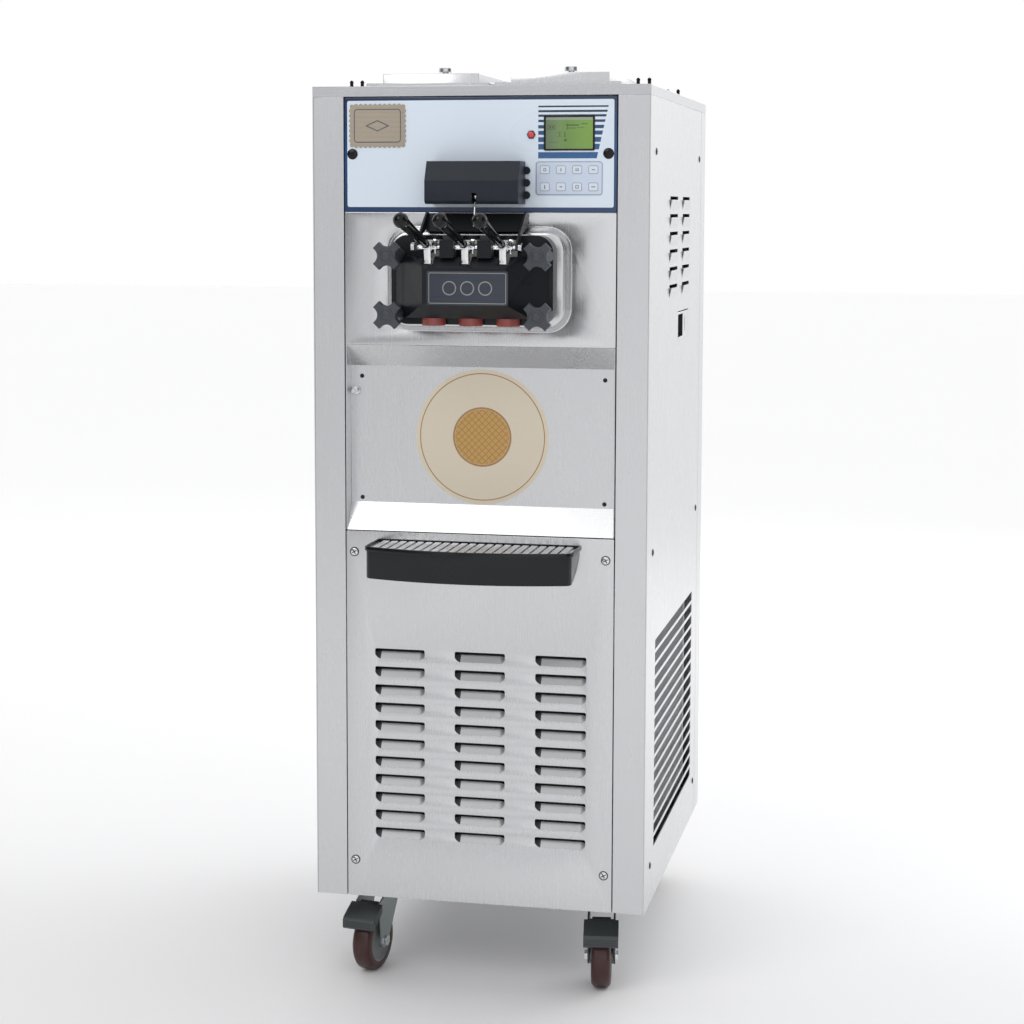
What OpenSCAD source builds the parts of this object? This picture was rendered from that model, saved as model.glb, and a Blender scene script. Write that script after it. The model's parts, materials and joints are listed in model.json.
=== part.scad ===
// Floor-standing soft-serve ice cream maker, two barrels and three draw handles.
// X runs left to right, the front faces -Y and Z is up.
// The origin is on the floor, in the middle of the overall outline.

/* [Cabinet] */
// Width over the side panels
body_w = 540; // [515:1:660]
// Depth from the front face to the rear panel
body_d = 680; // [560:1:830]
// Height of the cabinet without its casters
body_h = 1306; // [1080:1:1580]
// Thickness of the panel sheet
sheet_t = 1.5; // [1:0.1:2.5]
// Width of the corner posts
post_w = 51; // [40:1:60]
// Depth of the corner posts
post_d = 40; // [30:1:60]
// Gap round each front panel
panel_gap = 1.5; // [0.5:0.1:3]
// Depth of the folded edges of the panels
fold_d = 10; // [6:1:16]
// Height of the folded edge of the top cover
top_fold_h = 16; // [12:1:24]
// Height of the control fascia
fascia_h = 179; // [165:1:220]
// Height of the panel behind the dispensing head
upper_panel_h = 209; // [200:1:250]
// Height of the recessed splash panel
recess_h = 298; // [240:1:360]
// Depth of the splash recess
recess_d = 25; // [10:1:40]
// Depth of the strip of the rear panel that wraps round each side
rear_wrap_d = 58; // [50:1:70]

/* [Vents] */
// Height of the lowest front louvre above the cabinet's lower edge
louvre_low = 112; // [80:1:140]
// Plain height left above the front louvres
louvre_top_margin = 195; // [100:1:260]
// Spacing of the front and side louvre rows
louvre_pitch = 29; // [24:0.5:36]
// Width of one front louvre
louvre_w = 82; // [60:1:100]
// Height of one louvre hood
hood_h = 17; // [12:1:20]
// Reach of one louvre hood
hood_out = 5; // [3:0.5:8]
// Reach of one hood high on a side
side_hood_out = 3.5; // [2:0.5:5]
// Open slit above each hood
slit_h = 5.5; // [3:0.5:7]
// Number of louvre rows high on each side
side_louvre_rows = 6; // [3:1:8]
// Number of slots in each side grille
grille_slots = 16; // [8:1:20]
// Spacing of the side grille slots
grille_pitch = 21.7; // [18:0.1:26]
// Height of one side grille slot
grille_slot_h = 15.5; // [8:0.5:17]
// Height of the lowest grille slot above the cabinet's lower edge
grille_low = 84; // [60:1:110]
// Distance from the cabinet's front to the side grille
grille_front = 97; // [80:1:130]
// Distance from the side grille to the cabinet's rear
grille_rear = 124; // [110:1:150]

/* [Dispensing head] */
// Half the width of the head's flange
flange_half_w = 128; // [120:1:140]
// Height of the head's flange
flange_h = 138; // [130:1:150]
// Reach of the raised boss behind the head
boss_out = 18; // [12:1:24]
// Thickness of the head's flange
flange_t = 32; // [28:1:36]
// Reach of the head's flat front
head_out = 105; // [100:1:115]
// Half the width of the head's flat front
head_flat_half_w = 65; // [60:1:75]
// Spacing of the three draw valves
valve_pitch = 59; // [56:1:62]
// Radius of the draw valve plungers
plunger_r = 14; // [12:0.5:15]
// Running clearance of a shaft or plunger in its bore
run_gap = 0.05; // [0.02:0.01:0.1]
// Distance from the cabinet's front to the plungers' axes
plunger_out = 54; // [52:1:55]
// Distance from the cabinet's front to the handle rod
pivot_out = 84; // [82:1:86]
// Radius of the handle rod
pivot_r = 4; // [3:0.5:5]
// Length of a draw handle from its pivot to the end ball
handle_len = 173; // [140:1:210]
// Rise of the draw handles at rest, in degrees
grip_rise = 14; // [8:1:20]
// Radius of the end ball of a grip
ball_r = 11.5; // [9:0.5:14]
// Spacing of the star knobs across the head
knob_half_x = 117; // [114:1:120]
// Half the vertical spacing of the star knobs
knob_half_z = 45; // [42:1:48]
// Reach of the star knobs' faces
knob_out = 124; // [116:1:132]
// Radius over the tips of a star knob
knob_r = 23; // [19:0.5:24]

/* [Barrels and hoppers] */
// Half the spacing of the two freezing barrels
barrel_half_x = 62; // [58:1:66]
// Inner radius of a freezing barrel
barrel_r = 45; // [38:1:46]
// Length of a freezing barrel
barrel_len = 318; // [250:1:360]
// Width of a hopper's opening
hopper_w = 165; // [130:1:175]
// Length of a hopper's opening
hopper_l = 285; // [200:1:300]
// Depth of a hopper
hopper_h = 150; // [110:1:170]
// Distance between the two hopper lids' centre lines, halved
lid_half_x = 106; // [104:1:112]
// Distance from the cabinet's front to the hopper lids
lid_front = 93; // [80:1:110]
// Height of a lid's lower tier
lid_low_h = 10; // [8:1:14]
// Height of a lid's upper tier
lid_high_h = 16; // [10:1:22]

/* [Tray and drawer] */
// Half the width of the drip tray
tray_half_w = 166; // [140:1:180]
// Reach of the drip tray at its corners
tray_out = 82; // [70:1:100]
// Extra reach of the drip tray's bowed front
tray_bow = 28; // [10:1:40]
// Height of the drip tray
tray_h = 51; // [36:1:60]
// Wall of the drip tray
tray_t = 3; // [2:0.5:4]
// Number of bars in the drip grid
grid_bars = 22; // [12:1:28]
// Width of the leak drawer in the right-hand side
drawer_l = 128; // [100:1:140]
// Height of the leak drawer
drawer_h = 46; // [36:1:48]
// Length of the leak drawer into the cabinet
drawer_reach = 240; // [180:1:245]

/* [Casters] */
// Height of the casters from the floor to the cabinet
caster_h = 142; // [138:1:160]
// Radius of a caster wheel
wheel_r = 50; // [44:0.5:52]
// Width of a caster wheel
wheel_w = 32; // [26:1:34]
// Distance from a caster's swivel axis to its axle
caster_trail = 30; // [22:1:32]
// Distance from the cabinet's side to a caster's swivel axis
caster_in_x = 82; // [75:1:100]
// Distance from the cabinet's front or rear to a caster's swivel axis
caster_in_y = 90; // [90:1:120]
// Swivel of the front left caster at rest, in degrees
turn_left = -10; // [-30:1:30]
// Swivel of the front right caster at rest, in degrees
turn_right = 8; // [-30:1:30]

/* [Power inlet] */
// Bore of the cable gland
gland_r = 8; // [6:0.5:10]
// Reach of the cable gland behind the rear panel
gland_out = 20; // [14:1:26]

/* [Hidden] */
$fn = 48;

half_w = body_w / 2;
post_in = half_w - post_w;
panel_half = post_in - panel_gap;
base_z = caster_h;
top_z = base_z + body_h;
fold_z = top_z - top_fold_h;
fascia_low = fold_z - panel_gap - fascia_h;
upper_low = fascia_low - upper_panel_h;
recess_low = upper_low - recess_h;
lower_top = recess_low - panel_gap;
front_reach = pivot_out + handle_len * cos(grip_rise) + ball_r;
front_y = (front_reach - body_d - gland_out) / 2;
rear_y = front_y + body_d;
base_t = 2;

flange_front = boss_out + flange_t;
head_z = fascia_low - 104;
head_low = head_z - flange_h / 2;
head_high = head_z + flange_h / 2;
block_low = head_low + 11;
block_high = head_high - 32;
pivot_z = head_high - 18;
slope_low = block_high - 17;
nose_low = head_low + 34;
lug_half_x = valve_pitch / 2;
lug_w = 22;
lug_high = pivot_z + 11;
toe_r = 28;
arm_r = 24;
arm_tip_r = 4;
knob_z = head_z - 7;
stub_r = plunger_r + 2;
cap_r = stub_r + 2.5;
stub_drop = 6;
cheek_x = valve_pitch + 18;
cheek_t = 3;

barrel_z = head_z - 2;
barrel_out_r = barrel_r + 5;
jacket_half = barrel_r + 14;
barrel_rear = barrel_len - boss_out;
shaft_r = 8;
gear_l = 60;
motor_l = 120;

lid_w = 204;
lid_l = 329;
lid_step = 22;
lid_t = 1.5;
hopper_mid = lid_front + lid_l / 2;
lip_w = 10;

tray_top = recess_low - 13;
tray_low = tray_top - tray_h;
drawer_front = 329;
drawer_low = fascia_low - 214;
switch_half_w = 74;
switch_low = fascia_low + 13;
switch_h = 66;
switch_out = 55;
rod_hinge_z = switch_low + 12;
rod_hinge_out = 40;

plate_t = 3;
race_t = 10;
crown_top = caster_h - plate_t - race_t - 0.3;
crown_t = 8;
king_r = 6;
leg_in = wheel_w / 2 + 3.5;
leg_t = 3;
pedal_back = caster_trail + 12;
pedal_z = 112;
pedal_front = caster_trail + 56;
gland_x = 150;
gland_z = base_z + 120;

// ---- shared shapes ----

// Y of a point that stands out of the cabinet's front face by the given distance
function out(p) = front_y - p;

module rounded(w, h, r) {
  square([w - 2 * r, h], center = true);
  square([w, h - 2 * r], center = true);
  for (x = [-1, 1], y = [-1, 1])
    translate([x * (w / 2 - r), y * (h / 2 - r)]) circle(r = r);
}

// A flat outline drawn in X and Z, made solid from one reach back to another
module facing(p_front, p_back) {
  translate([0, out(p_back), 0])
    rotate([90, 0, 0])
      linear_extrude(p_front - p_back) children();
}

// A flat outline drawn in reach and Z, made solid across X
module across(x_low, x_high) {
  translate([x_low, front_y, 0])
    rotate([90, 0, -90]) mirror([0, 0, 1])
      linear_extrude(x_high - x_low) children();
}

// A round bar along X
module bar_x(x_low, x_high, p, z, r) {
  translate([x_low, out(p), z]) rotate([0, 90, 0]) cylinder(h = x_high - x_low, r = r);
}

// A round bar along Y, from one reach back to another
module bar_y(x, z, p_front, p_back, r) {
  translate([x, out(p_back), z]) rotate([90, 0, 0]) cylinder(h = p_front - p_back, r = r);
}

// A sheet panel with folded edges, facing the front
module folded_panel(w, low, high) {
  difference() {
    facing(0, -fold_d)
      translate([0, (low + high) / 2]) square([w, high - low], center = true);
    facing(-sheet_t, -fold_d - 1)
      translate([0, (low + high) / 2])
        square([w - 2 * sheet_t, high - low - 2 * sheet_t], center = true);
  }
}

// ---- cabinet ----

module base_pan() color("silver") {
  difference() {
    translate([-half_w + sheet_t, front_y, base_z])
      cube([body_w - 2 * sheet_t, body_d - sheet_t, base_t]);
    for (side = [-1, 1], end = [0, 1])
      translate([side * (half_w - post_w / 2) - post_w / 2,
                 end ? rear_y - sheet_t - post_d : front_y - 1, base_z - 1])
        cube([post_w, post_d + 1, base_t + 2]);
    translate([0, front_y, base_z + base_t / 2])
      cube([2 * post_in + 1, 2 * fold_d + 2, base_t + 1], center = true);
  }
}

module corner_post(x_low, y_low) {
  translate([x_low, y_low, base_z])
    linear_extrude(fold_z - base_z)
      difference() {
        square([post_w - sheet_t, post_d]);
        translate([sheet_t, sheet_t])
          square([post_w - 3 * sheet_t, post_d - 2 * sheet_t]);
      }
}

module corner_posts() color("whitesmoke") {
  for (y_low = [front_y, rear_y - sheet_t - post_d]) {
    corner_post(post_in, y_low);
    corner_post(-half_w + sheet_t, y_low);
  }
}

side_len = body_d - rear_wrap_d - panel_gap;
louvre_bank = [[221, 97], [376, 92]];

// One louvre: a hood over a slit, in reach and Z, from its lower edge
module hood_outline(reach) {
  polygon([[0, 0], [reach, hood_h - 2], [reach, hood_h],
           [reach - 1, hood_h], [reach - 1, hood_h - 2], [0, 4]]);
}

module side_louvre(y_low, len, z_low) {
  translate([half_w, y_low + len, z_low])
    rotate([90, 0, 0]) linear_extrude(len) hood_outline(side_hood_out);
}

function side_louvre_z(row) = fold_z - 176 - row * louvre_pitch;

module side_sheet() {
  difference() {
    translate([half_w - sheet_t, front_y, base_z])
      cube([sheet_t, side_len, fold_z - base_z - 0.2]);
    for (slot = [0 : grille_slots - 1])
      translate([half_w - sheet_t - 1, front_y + grille_front,
                 base_z + grille_low + slot * grille_pitch])
        cube([sheet_t + 2, body_d - grille_front - grille_rear, grille_slot_h]);
    for (bank = louvre_bank, row = [0 : side_louvre_rows - 1])
      translate([half_w - sheet_t - 1, front_y + bank[0] + 1,
                 side_louvre_z(row) + hood_h])
        cube([sheet_t + 2, bank[1] - 2, slit_h]);
  }
  for (bank = louvre_bank, row = [0 : side_louvre_rows - 1])
    side_louvre(front_y + bank[0], bank[1], side_louvre_z(row));
}

module side_panel_left() color("gainsboro") {
  mirror([1, 0, 0]) side_sheet();
}

module side_panel_right() color("gainsboro") {
  difference() {
    side_sheet();
    translate([half_w - sheet_t - 1, front_y + drawer_front, drawer_low])
      cube([sheet_t + 2, drawer_l + 2, drawer_h + 2]);
  }
  for (y = [drawer_front - 2, drawer_front + drawer_l - 6])
    translate([half_w - drawer_reach, front_y + y, drawer_low - 3])
      cube([drawer_reach - sheet_t, 10, 3]);
}

module rear_panel() color("gainsboro") {
  difference() {
    translate([-half_w, rear_y - rear_wrap_d, base_z])
      cube([body_w, rear_wrap_d, fold_z - base_z - 0.2]);
    translate([-half_w + sheet_t, rear_y - rear_wrap_d - 1, base_z - 1])
      cube([body_w - 2 * sheet_t, rear_wrap_d + 1 - sheet_t, fold_z - base_z + 2]);
    translate([gland_x, rear_y + 1, gland_z])
      rotate([90, 0, 0]) cylinder(h = sheet_t + 2, r = gland_r + 6);
    for (column = [-1, 0, 1], row = [0 : 5])
      translate([column * 130 - louvre_w / 2, rear_y - sheet_t - 1,
                 base_z + 260 + row * louvre_pitch])
        cube([louvre_w, sheet_t + 2, slit_h + 4]);
  }
}

module top_cover() color("silver") {
  difference() {
    translate([-half_w, front_y, fold_z]) cube([body_w, body_d, top_fold_h]);
    translate([-half_w + sheet_t, front_y + sheet_t, fold_z - 1])
      cube([body_w - 2 * sheet_t, body_d - 2 * sheet_t, top_fold_h + 1 - sheet_t]);
    for (side = [-1, 1])
      translate([side * lid_half_x - hopper_w / 2 - sheet_t,
                 front_y + hopper_mid - hopper_l / 2 - sheet_t, fold_z])
        cube([hopper_w + 2 * sheet_t, hopper_l + 2 * sheet_t, top_fold_h + 1]);
  }
}

boss_half_w = flange_half_w + 20;
boss_h = flange_h + 27;

module front_upper_panel() color("silver") {
  difference() {
    union() {
      folded_panel(2 * panel_half, upper_low, fascia_low - 0.2);
      hull() {
        facing(0, -0.5) translate([0, head_z]) rounded(2 * boss_half_w, boss_h, 36, $fn = 32);
        facing(boss_out, boss_out - 1)
          translate([0, head_z]) rounded(2 * boss_half_w - 24, boss_h - 24, 26, $fn = 32);
      }
    }
    for (side = [-1, 1])
      bar_y(side * barrel_half_x, barrel_z, boss_out + 1, -fold_d - 5, barrel_out_r);
    for (x = [-1, 1], z = [-1, 1])
      bar_y(x * knob_half_x, knob_z + z * knob_half_z, boss_out + 1, -fold_d - 5, 5);
  }
}

// ---- controls ----

module control_fascia() color("aliceblue") {
  folded_panel(2 * panel_half, fascia_low + 0.2, fascia_low + fascia_h);
  facing(1.2, 0)
    translate([-panel_half + 54, fascia_low + fascia_h - 44]) {
      rounded(86, 62, 8);
      for (side = [-1, 1], step = [-3 : 3])
        translate([side * 43, step * 8]) circle(r = 4);
      for (side = [-1, 1], step = [-4 : 4])
        translate([step * 9, side * 31]) circle(r = 4);
    }
}

window_x = switch_half_w + 69;
window_z = fascia_low + fascia_h - 56.5;

module display_window() color("olivedrab") {
  facing(1.5, 0) translate([window_x, window_z]) rounded(80, 54, 2);
}

keypad_z = switch_low + 40;

module membrane_keypad() color("white") {
  facing(0.8, 0) translate([window_x, keypad_z]) rounded(106, 53, 5);
  for (column = [0 : 3], row = [0, 1])
    facing(1.4, 0.7)
      translate([window_x + (column - 1.5) * 25.4, keypad_z + (row - 0.5) * 26.3])
        rounded(15.5, 13, 2);
}

module indicator_lamp() color("red") {
  bar_y(switch_half_w + 9, keypad_z + 67, 2, 0, 7);
  bar_y(switch_half_w + 9, keypad_z + 67, 4, 1, 5);
}

// Outline of the switch box in reach and Z
module switch_side(inset) {
  polygon([[0, switch_low + inset], [switch_out - 4 - inset, switch_low + inset],
           [switch_out - inset, switch_low + 5 + inset],
           [switch_out - inset, switch_low + 36],
           [switch_out - 14 - inset, switch_low + switch_h - inset],
           [0, switch_low + switch_h - inset]]);
}

module switch_box() color("dimgray") {
  difference() {
    across(-switch_half_w, switch_half_w) switch_side(0);
    across(-switch_half_w + 2.5, switch_half_w - 2.5)
      translate([-1, 0]) switch_side(2.5);
    translate([1, out(switch_out + 1), switch_low - 1]) cube([7, 32, 18]);
  }
  for (side = [-1, 1], z = [14, 33, 52])
    facing(3, 0)
      translate([side * (switch_half_w + 2), switch_low + z]) circle(r = 6);
  for (x = [-2.5, 7])
    across(x, x + 2.5)
      translate([rod_hinge_out - 5, switch_low + 2.5]) square([10, 15]);
  bar_x(-0.5, 7.5, rod_hinge_out, rod_hinge_z, 2);
  translate([-40, out(26), switch_low + 20]) cube([30, 26, 22]);
}

// ---- dispensing head ----

module valve_positions() {
  for (step = [-1 : 1]) translate([step * valve_pitch, 0, 0]) children();
}

// Side outline of the head's front block, in reach and Z
module block_side() {
  polygon([[boss_out + 1, block_low], [cap_r + plunger_out, block_low], [head_out, nose_low],
           [head_out, slope_low], [head_out - 20, block_high],
           [boss_out + 1, block_high]]);
}

module dispensing_head() color("darkslategray") {
  difference() {
    union() {
      facing(flange_front, boss_out)
        translate([0, head_z]) rounded(2 * flange_half_w, flange_h, 26);
      intersection() {
        across(-flange_half_w, flange_half_w) block_side();
        translate([0, 0, head_low])
          linear_extrude(flange_h)
            polygon([[-flange_half_w + 6, out(boss_out + 1)],
                     [-flange_half_w + 6, out(flange_front)],
                     [-head_flat_half_w, out(head_out)], [head_flat_half_w, out(head_out)],
                     [flange_half_w - 6, out(flange_front)],
                     [flange_half_w - 6, out(boss_out + 1)]]);
      }
      for (side = [-1, 1])
        across(side * lug_half_x - lug_w / 2, side * lug_half_x + lug_w / 2)
          translate([pivot_out - 10, block_high - 2])
            square([20, lug_high - block_high + 2]);
    }
    valve_positions() {
      translate([0, out(plunger_out), head_low - 1])
        difference() {
          cylinder(h = block_low - head_low + 1, r = cap_r + 1);
          translate([0, 0, block_low - head_low - stub_drop + 1])
            cylinder(h = stub_drop + 1, r = stub_r);
        }
      translate([0, out(plunger_out), head_low - 1]) cylinder(h = flange_h + 2, r = plunger_r);
      across(-9, 9)
        translate([plunger_out, block_high - 22]) square([head_out - plunger_out - 6, 60]);
    }
    for (side = [-1, 1])
      bar_x(side * lug_half_x - lug_w, side * lug_half_x + lug_w, pivot_out, pivot_z, pivot_r);
    for (x = [-1, 1], z = [-1, 1]) {
      bar_y(x * knob_half_x, knob_z + z * knob_half_z, flange_front + 60, flange_front, 13.5);
      bar_y(x * knob_half_x, knob_z + z * knob_half_z, flange_front + 1, boss_out - 1, 5);
    }
    for (side = [-1, 1])
      bar_y(side * barrel_half_x, barrel_z, boss_out + 10, boss_out - 1, shaft_r + run_gap);
    facing(boss_out + 7, boss_out - 1)
      translate([0, barrel_z - barrel_r + 10]) square([2 * barrel_half_x, 12], center = true);
    for (step = [-1 : 1])
      bar_y(step * valve_pitch, barrel_z - barrel_r + 10, plunger_out, boss_out, 6);
  }
}

module door_studs() color("silver") {
  for (x = [-1, 1], z = [-1, 1]) {
    bar_y(x * knob_half_x, knob_z + z * knob_half_z, knob_out - 14, -fold_d - 6, 4);
    bar_y(x * knob_half_x, knob_z + z * knob_half_z, boss_out, -fold_d - 2, 5);
  }
}

module handle_rod() color("silver") {
  bar_x(-cheek_x - 9, cheek_x + 9, pivot_out, pivot_z, pivot_r);
  for (side = [-1, 1])
    translate([side * (cheek_x + 7), out(pivot_out), pivot_z])
      rotate([0, 90, 0]) cylinder(h = 6, r = 7.5, center = true, $fn = 6);
}

// A six-pointed star hole
module star_hole() {
  for (turn = [0, 60])
    rotate(turn) circle(r = 10, $fn = 3);
}

module nozzle_caps() color("orangered") {
  valve_positions()
    translate([0, out(plunger_out), block_low - 12])
      difference() {
        cylinder(h = 12, r = cap_r);
        translate([0, 0, 12 - stub_drop]) cylinder(h = stub_drop + 1, r = stub_r);
        translate([0, 0, -1]) linear_extrude(13) star_hole();
      }
}

// Room above and below the arm's axis in a plunger's slot
slot_above = arm_tip_r + 1.3;
slot_below = arm_tip_r + 2.6;
plunger_high = head_high - 7;

module plunger(x) color("ivory") {
  difference() {
    translate([x, out(plunger_out), block_low + 2])
      cylinder(h = plunger_high - block_low - 2, r = plunger_r - run_gap);
    across(x - plunger_r, x + plunger_r)
      translate([plunger_out - 4, pivot_z - slot_below])
        square([plunger_r + 6, slot_above + slot_below]);
  }
}

module plunger_left() plunger(-valve_pitch);
module plunger_centre() plunger(0);
module plunger_right() plunger(valve_pitch);

grip_start = 20;

module draw_handle(x) {
  translate([x, out(pivot_out), pivot_z]) {
    color("silver") difference() {
      union() {
        rotate([0, 90, 0]) cylinder(h = 14, r = 9, center = true);
        translate([-6, 0, 1 - arm_tip_r]) cube([12, arm_r, 2 * (arm_tip_r - 1)]);
        translate([0, arm_r, 0]) rotate([0, 90, 0]) cylinder(h = 12, r = arm_tip_r, center = true);
        rotate([90 - grip_rise, 0, 0]) cylinder(h = grip_start + 1, r = 5);
        translate([-5.5, -13, -toe_r + 2]) cube([11, 7, toe_r + 4]);
        translate([-14, -12, -1]) rotate([0, 90, 0]) cylinder(h = 12, r = 2.5);
        translate([5, -9, -3]) cube([9, 7, 5]);
        translate([11, -5, -10]) cylinder(h = 22, r = 2.2);
        translate([11, -5, 8]) cylinder(h = 5, r = 4);
      }
      rotate([0, 90, 0]) cylinder(h = 40, r = pivot_r + run_gap, center = true);
    }
    color("black") rotate([90 - grip_rise, 0, 0]) {
      translate([0, 0, grip_start])
        cylinder(h = handle_len - grip_start - ball_r / 2, r1 = 6.2, r2 = ball_r - 1);
      translate([0, 0, handle_len]) sphere(r = ball_r);
    }
  }
}

module draw_handle_left() draw_handle(-valve_pitch);
module draw_handle_centre() draw_handle(0);
module draw_handle_right() draw_handle(valve_pitch);

plate_low = pivot_z + 23;
plate_high = fascia_low - 1;

module draw_plate() color("dimgray") {
  difference() {
    union() {
      across(-cheek_x, cheek_x)
        polygon([[29, plate_low], [32, plate_low + 1], [9, plate_high], [6, plate_high]]);
      for (side = [-1, 1])
        across(side * (cheek_x + cheek_t / 2) - cheek_t / 2,
               side * (cheek_x + cheek_t / 2) + cheek_t / 2)
          polygon([[pivot_out + 6, pivot_z - 5], [pivot_out + 7, pivot_z + 4],
                   [pivot_out - 20, pivot_z + 24], [22, plate_high + 2], [8, plate_high],
                   [4, plate_low + 18], [6, plate_low + 10], [flange_front + 2, head_high + 2],
                   [flange_front + 5, head_high - 5], [pivot_out - 8, pivot_z - 5]]);
    }
    bar_x(-cheek_x - 20, cheek_x + 20, pivot_out, pivot_z, pivot_r + run_gap);
  }
}

rod_tip_z = plate_low + 9;
rod_tip_out = 30;
rod_lean = atan((rod_hinge_out - rod_tip_out) / (rod_hinge_z - rod_tip_z));

module actuator_rod() color("silver") {
  translate([3.5, out(rod_hinge_out), rod_hinge_z]) {
    difference() {
      rotate([0, 90, 0]) cylinder(h = 5, r = 4, center = true);
      rotate([0, 90, 0]) cylinder(h = 10, r = 2 + run_gap, center = true);
    }
    rotate([-rod_lean, 0, 0])
      translate([0, 0, -(rod_hinge_z - rod_tip_z) / cos(rod_lean)]) {
        cylinder(h = (rod_hinge_z - rod_tip_z) / cos(rod_lean) - 3.5, r = 1.6);
        sphere(r = 2.2);
      }
  }
}

module star_knob(x_side, z_side) color("slategray") {
  x = x_side * knob_half_x;
  z = knob_z + z_side * knob_half_z;
  difference() {
    union() {
      facing(knob_out, knob_out - 15)
        translate([x, z])
          rotate(45)
            difference() {
              union() {
                for (turn = [0, 90]) rotate(turn) square([2 * knob_r - 8, 13], center = true);
                for (turn = [0 : 90 : 270])
                  rotate(turn) translate([knob_r - 5.5, 0]) circle(r = 5.5);
                circle(r = 15);
              }
              for (turn = [45 : 90 : 315])
                rotate(turn) translate([22.5, 0]) circle(r = 9.5);
            }
      bar_y(x, z, knob_out + 1.5, knob_out - 1, 12);
      bar_y(x, z, knob_out - 14, flange_front + 0.2, 12);
    }
    bar_y(x, z, knob_out - 13, flange_front - 1, 4 + run_gap);
  }
}

module star_knob_upper_left() star_knob(-1, 1);
module star_knob_upper_right() star_knob(1, 1);
module star_knob_lower_left() star_knob(-1, -1);
module star_knob_lower_right() star_knob(1, -1);

// ---- splash recess and lower front ----

slope_high = 35;
slope_base = 43;

// Outline of the splash recess's side walls in reach and Z
module splash_side() {
  polygon([[0, upper_low - 0.2], [-recess_d, upper_low - slope_high],
           [-recess_d, recess_low + slope_base], [0, recess_low]]);
}

module splash_panel() color("whitesmoke") {
  across(-panel_half, panel_half)
    polygon([[0, upper_low - 0.2], [-recess_d, upper_low - slope_high],
             [-recess_d, recess_low + slope_base], [0, recess_low],
             [-sheet_t, recess_low], [-recess_d - sheet_t, recess_low + slope_base],
             [-recess_d - sheet_t, upper_low - slope_high], [-sheet_t, upper_low - 0.2]]);
  for (side = [-1, 1])
    across(side * (panel_half - sheet_t / 2) - sheet_t / 2,
           side * (panel_half - sheet_t / 2) + sheet_t / 2)
      splash_side();
}

louvre_rows = floor((lower_top - base_z - louvre_low - louvre_top_margin) / louvre_pitch) + 1;
louvre_x = [-129.5, 1.75, 133.75];

module lower_front_panel() color("whitesmoke") {
  difference() {
    folded_panel(2 * panel_half, base_z, lower_top);
    for (x = louvre_x, row = [0 : louvre_rows - 1])
      facing(1, -sheet_t - 1)
        translate([x, base_z + louvre_low + row * louvre_pitch - slit_h / 2])
          square([louvre_w - 3, slit_h], center = true);
  }
  for (x = louvre_x, row = [0 : louvre_rows - 1])
    across(x - louvre_w / 2, x + louvre_w / 2)
      translate([0, base_z + louvre_low + row * louvre_pitch - slit_h - hood_h])
        hood_outline(hood_out);
}

// A slotted screw head that stands on a face looking along +Z
module slotted_head(r, h) {
  difference() {
    cylinder(h = h, r = r);
    translate([-r, -0.8, h - 0.8]) cube([2 * r, 1.6, 1]);
  }
}

module front_screw(x, z, p, r) {
  translate([x, out(p), z]) rotate([90, 0, 0]) slotted_head(r, 2);
}

module panel_screws() color("silver") {
  for (side = [-1, 1]) {
    front_screw(side * (panel_half - 13), lower_top - 34, 0, 7);
    front_screw(side * (panel_half - 13), base_z + 60, 0, 7);
    front_screw(side * (panel_half - 20), upper_low - slope_high - 17, -recess_d, 3.5);
    front_screw(side * (panel_half - 20), recess_low + slope_base + 12, -recess_d, 3.5);
    front_screw(side * (panel_half - 13), fascia_low + fascia_h - 88, 0, 8.5);
    for (z = [base_z + 63, base_z + 573, fold_z - 85], y = [front_y + 60, rear_y - 85])
      translate([side * half_w, y, z]) rotate([0, side * 90, 0]) slotted_head(6, 1.6);
  }
  bar_y(-panel_half + sheet_t + 9, upper_low - 75, -recess_d + 3, -recess_d, 8);
  bar_y(-panel_half + sheet_t + 9, upper_low - 75, -recess_d + 18, -recess_d, 3);
}

module top_pegs() color("black") {
  for (side = [-1, 1], x = [24, 42], y = [140, body_d - 200])
    translate([side * (half_w - x), front_y + y, top_z]) {
      cylinder(h = 15, r = 2.75);
      translate([0, 0, 15]) sphere(r = 2.75);
    }
}

// ---- barrels, hoppers and drives ----

module freezing_barrels() color("lightgray") {
  difference() {
    union() {
      for (side = [-1, 1])
        bar_y(side * barrel_half_x, barrel_z, boss_out - 0.05, -barrel_rear, barrel_out_r);
      facing(-fold_d - 7, -barrel_rear + 4)
        translate([0, barrel_z])
          square([2 * (barrel_half_x + jacket_half), 2 * jacket_half], center = true);
    }
    for (side = [-1, 1]) {
      bar_y(side * barrel_half_x, barrel_z, boss_out + 1, -barrel_rear + 6, barrel_r);
      bar_y(side * barrel_half_x, barrel_z, 0, -barrel_rear - 1, shaft_r + run_gap);
      translate([side * barrel_half_x, front_y + 200, barrel_z])
        cylinder(h = jacket_half + 1, r = 9);
    }
  }
}

module mix_hoppers() color("silver") {
  for (side = [-1, 1])
    difference() {
      union() {
        translate([side * lid_half_x - hopper_w / 2 - sheet_t,
                   front_y + hopper_mid - hopper_l / 2 - sheet_t, top_z - hopper_h])
          cube([hopper_w + 2 * sheet_t, hopper_l + 2 * sheet_t, hopper_h + sheet_t]);
        translate([side * lid_half_x - hopper_w / 2 - lip_w,
                   front_y + hopper_mid - hopper_l / 2 - lip_w, top_z])
          cube([hopper_w + 2 * lip_w, hopper_l + 2 * lip_w, sheet_t]);
        translate([side * barrel_half_x, front_y + 200, barrel_z + barrel_out_r - 3])
          cylinder(h = top_z - hopper_h - barrel_z - barrel_out_r + 4, r = 9);
      }
      translate([side * lid_half_x - hopper_w / 2,
                 front_y + hopper_mid - hopper_l / 2, top_z - hopper_h + sheet_t])
        cube([hopper_w, hopper_l, hopper_h + 1]);
      translate([side * barrel_half_x, front_y + 200, barrel_z])
        cylinder(h = top_z - hopper_h - barrel_z + 3, r = 6);
    }
}

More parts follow.
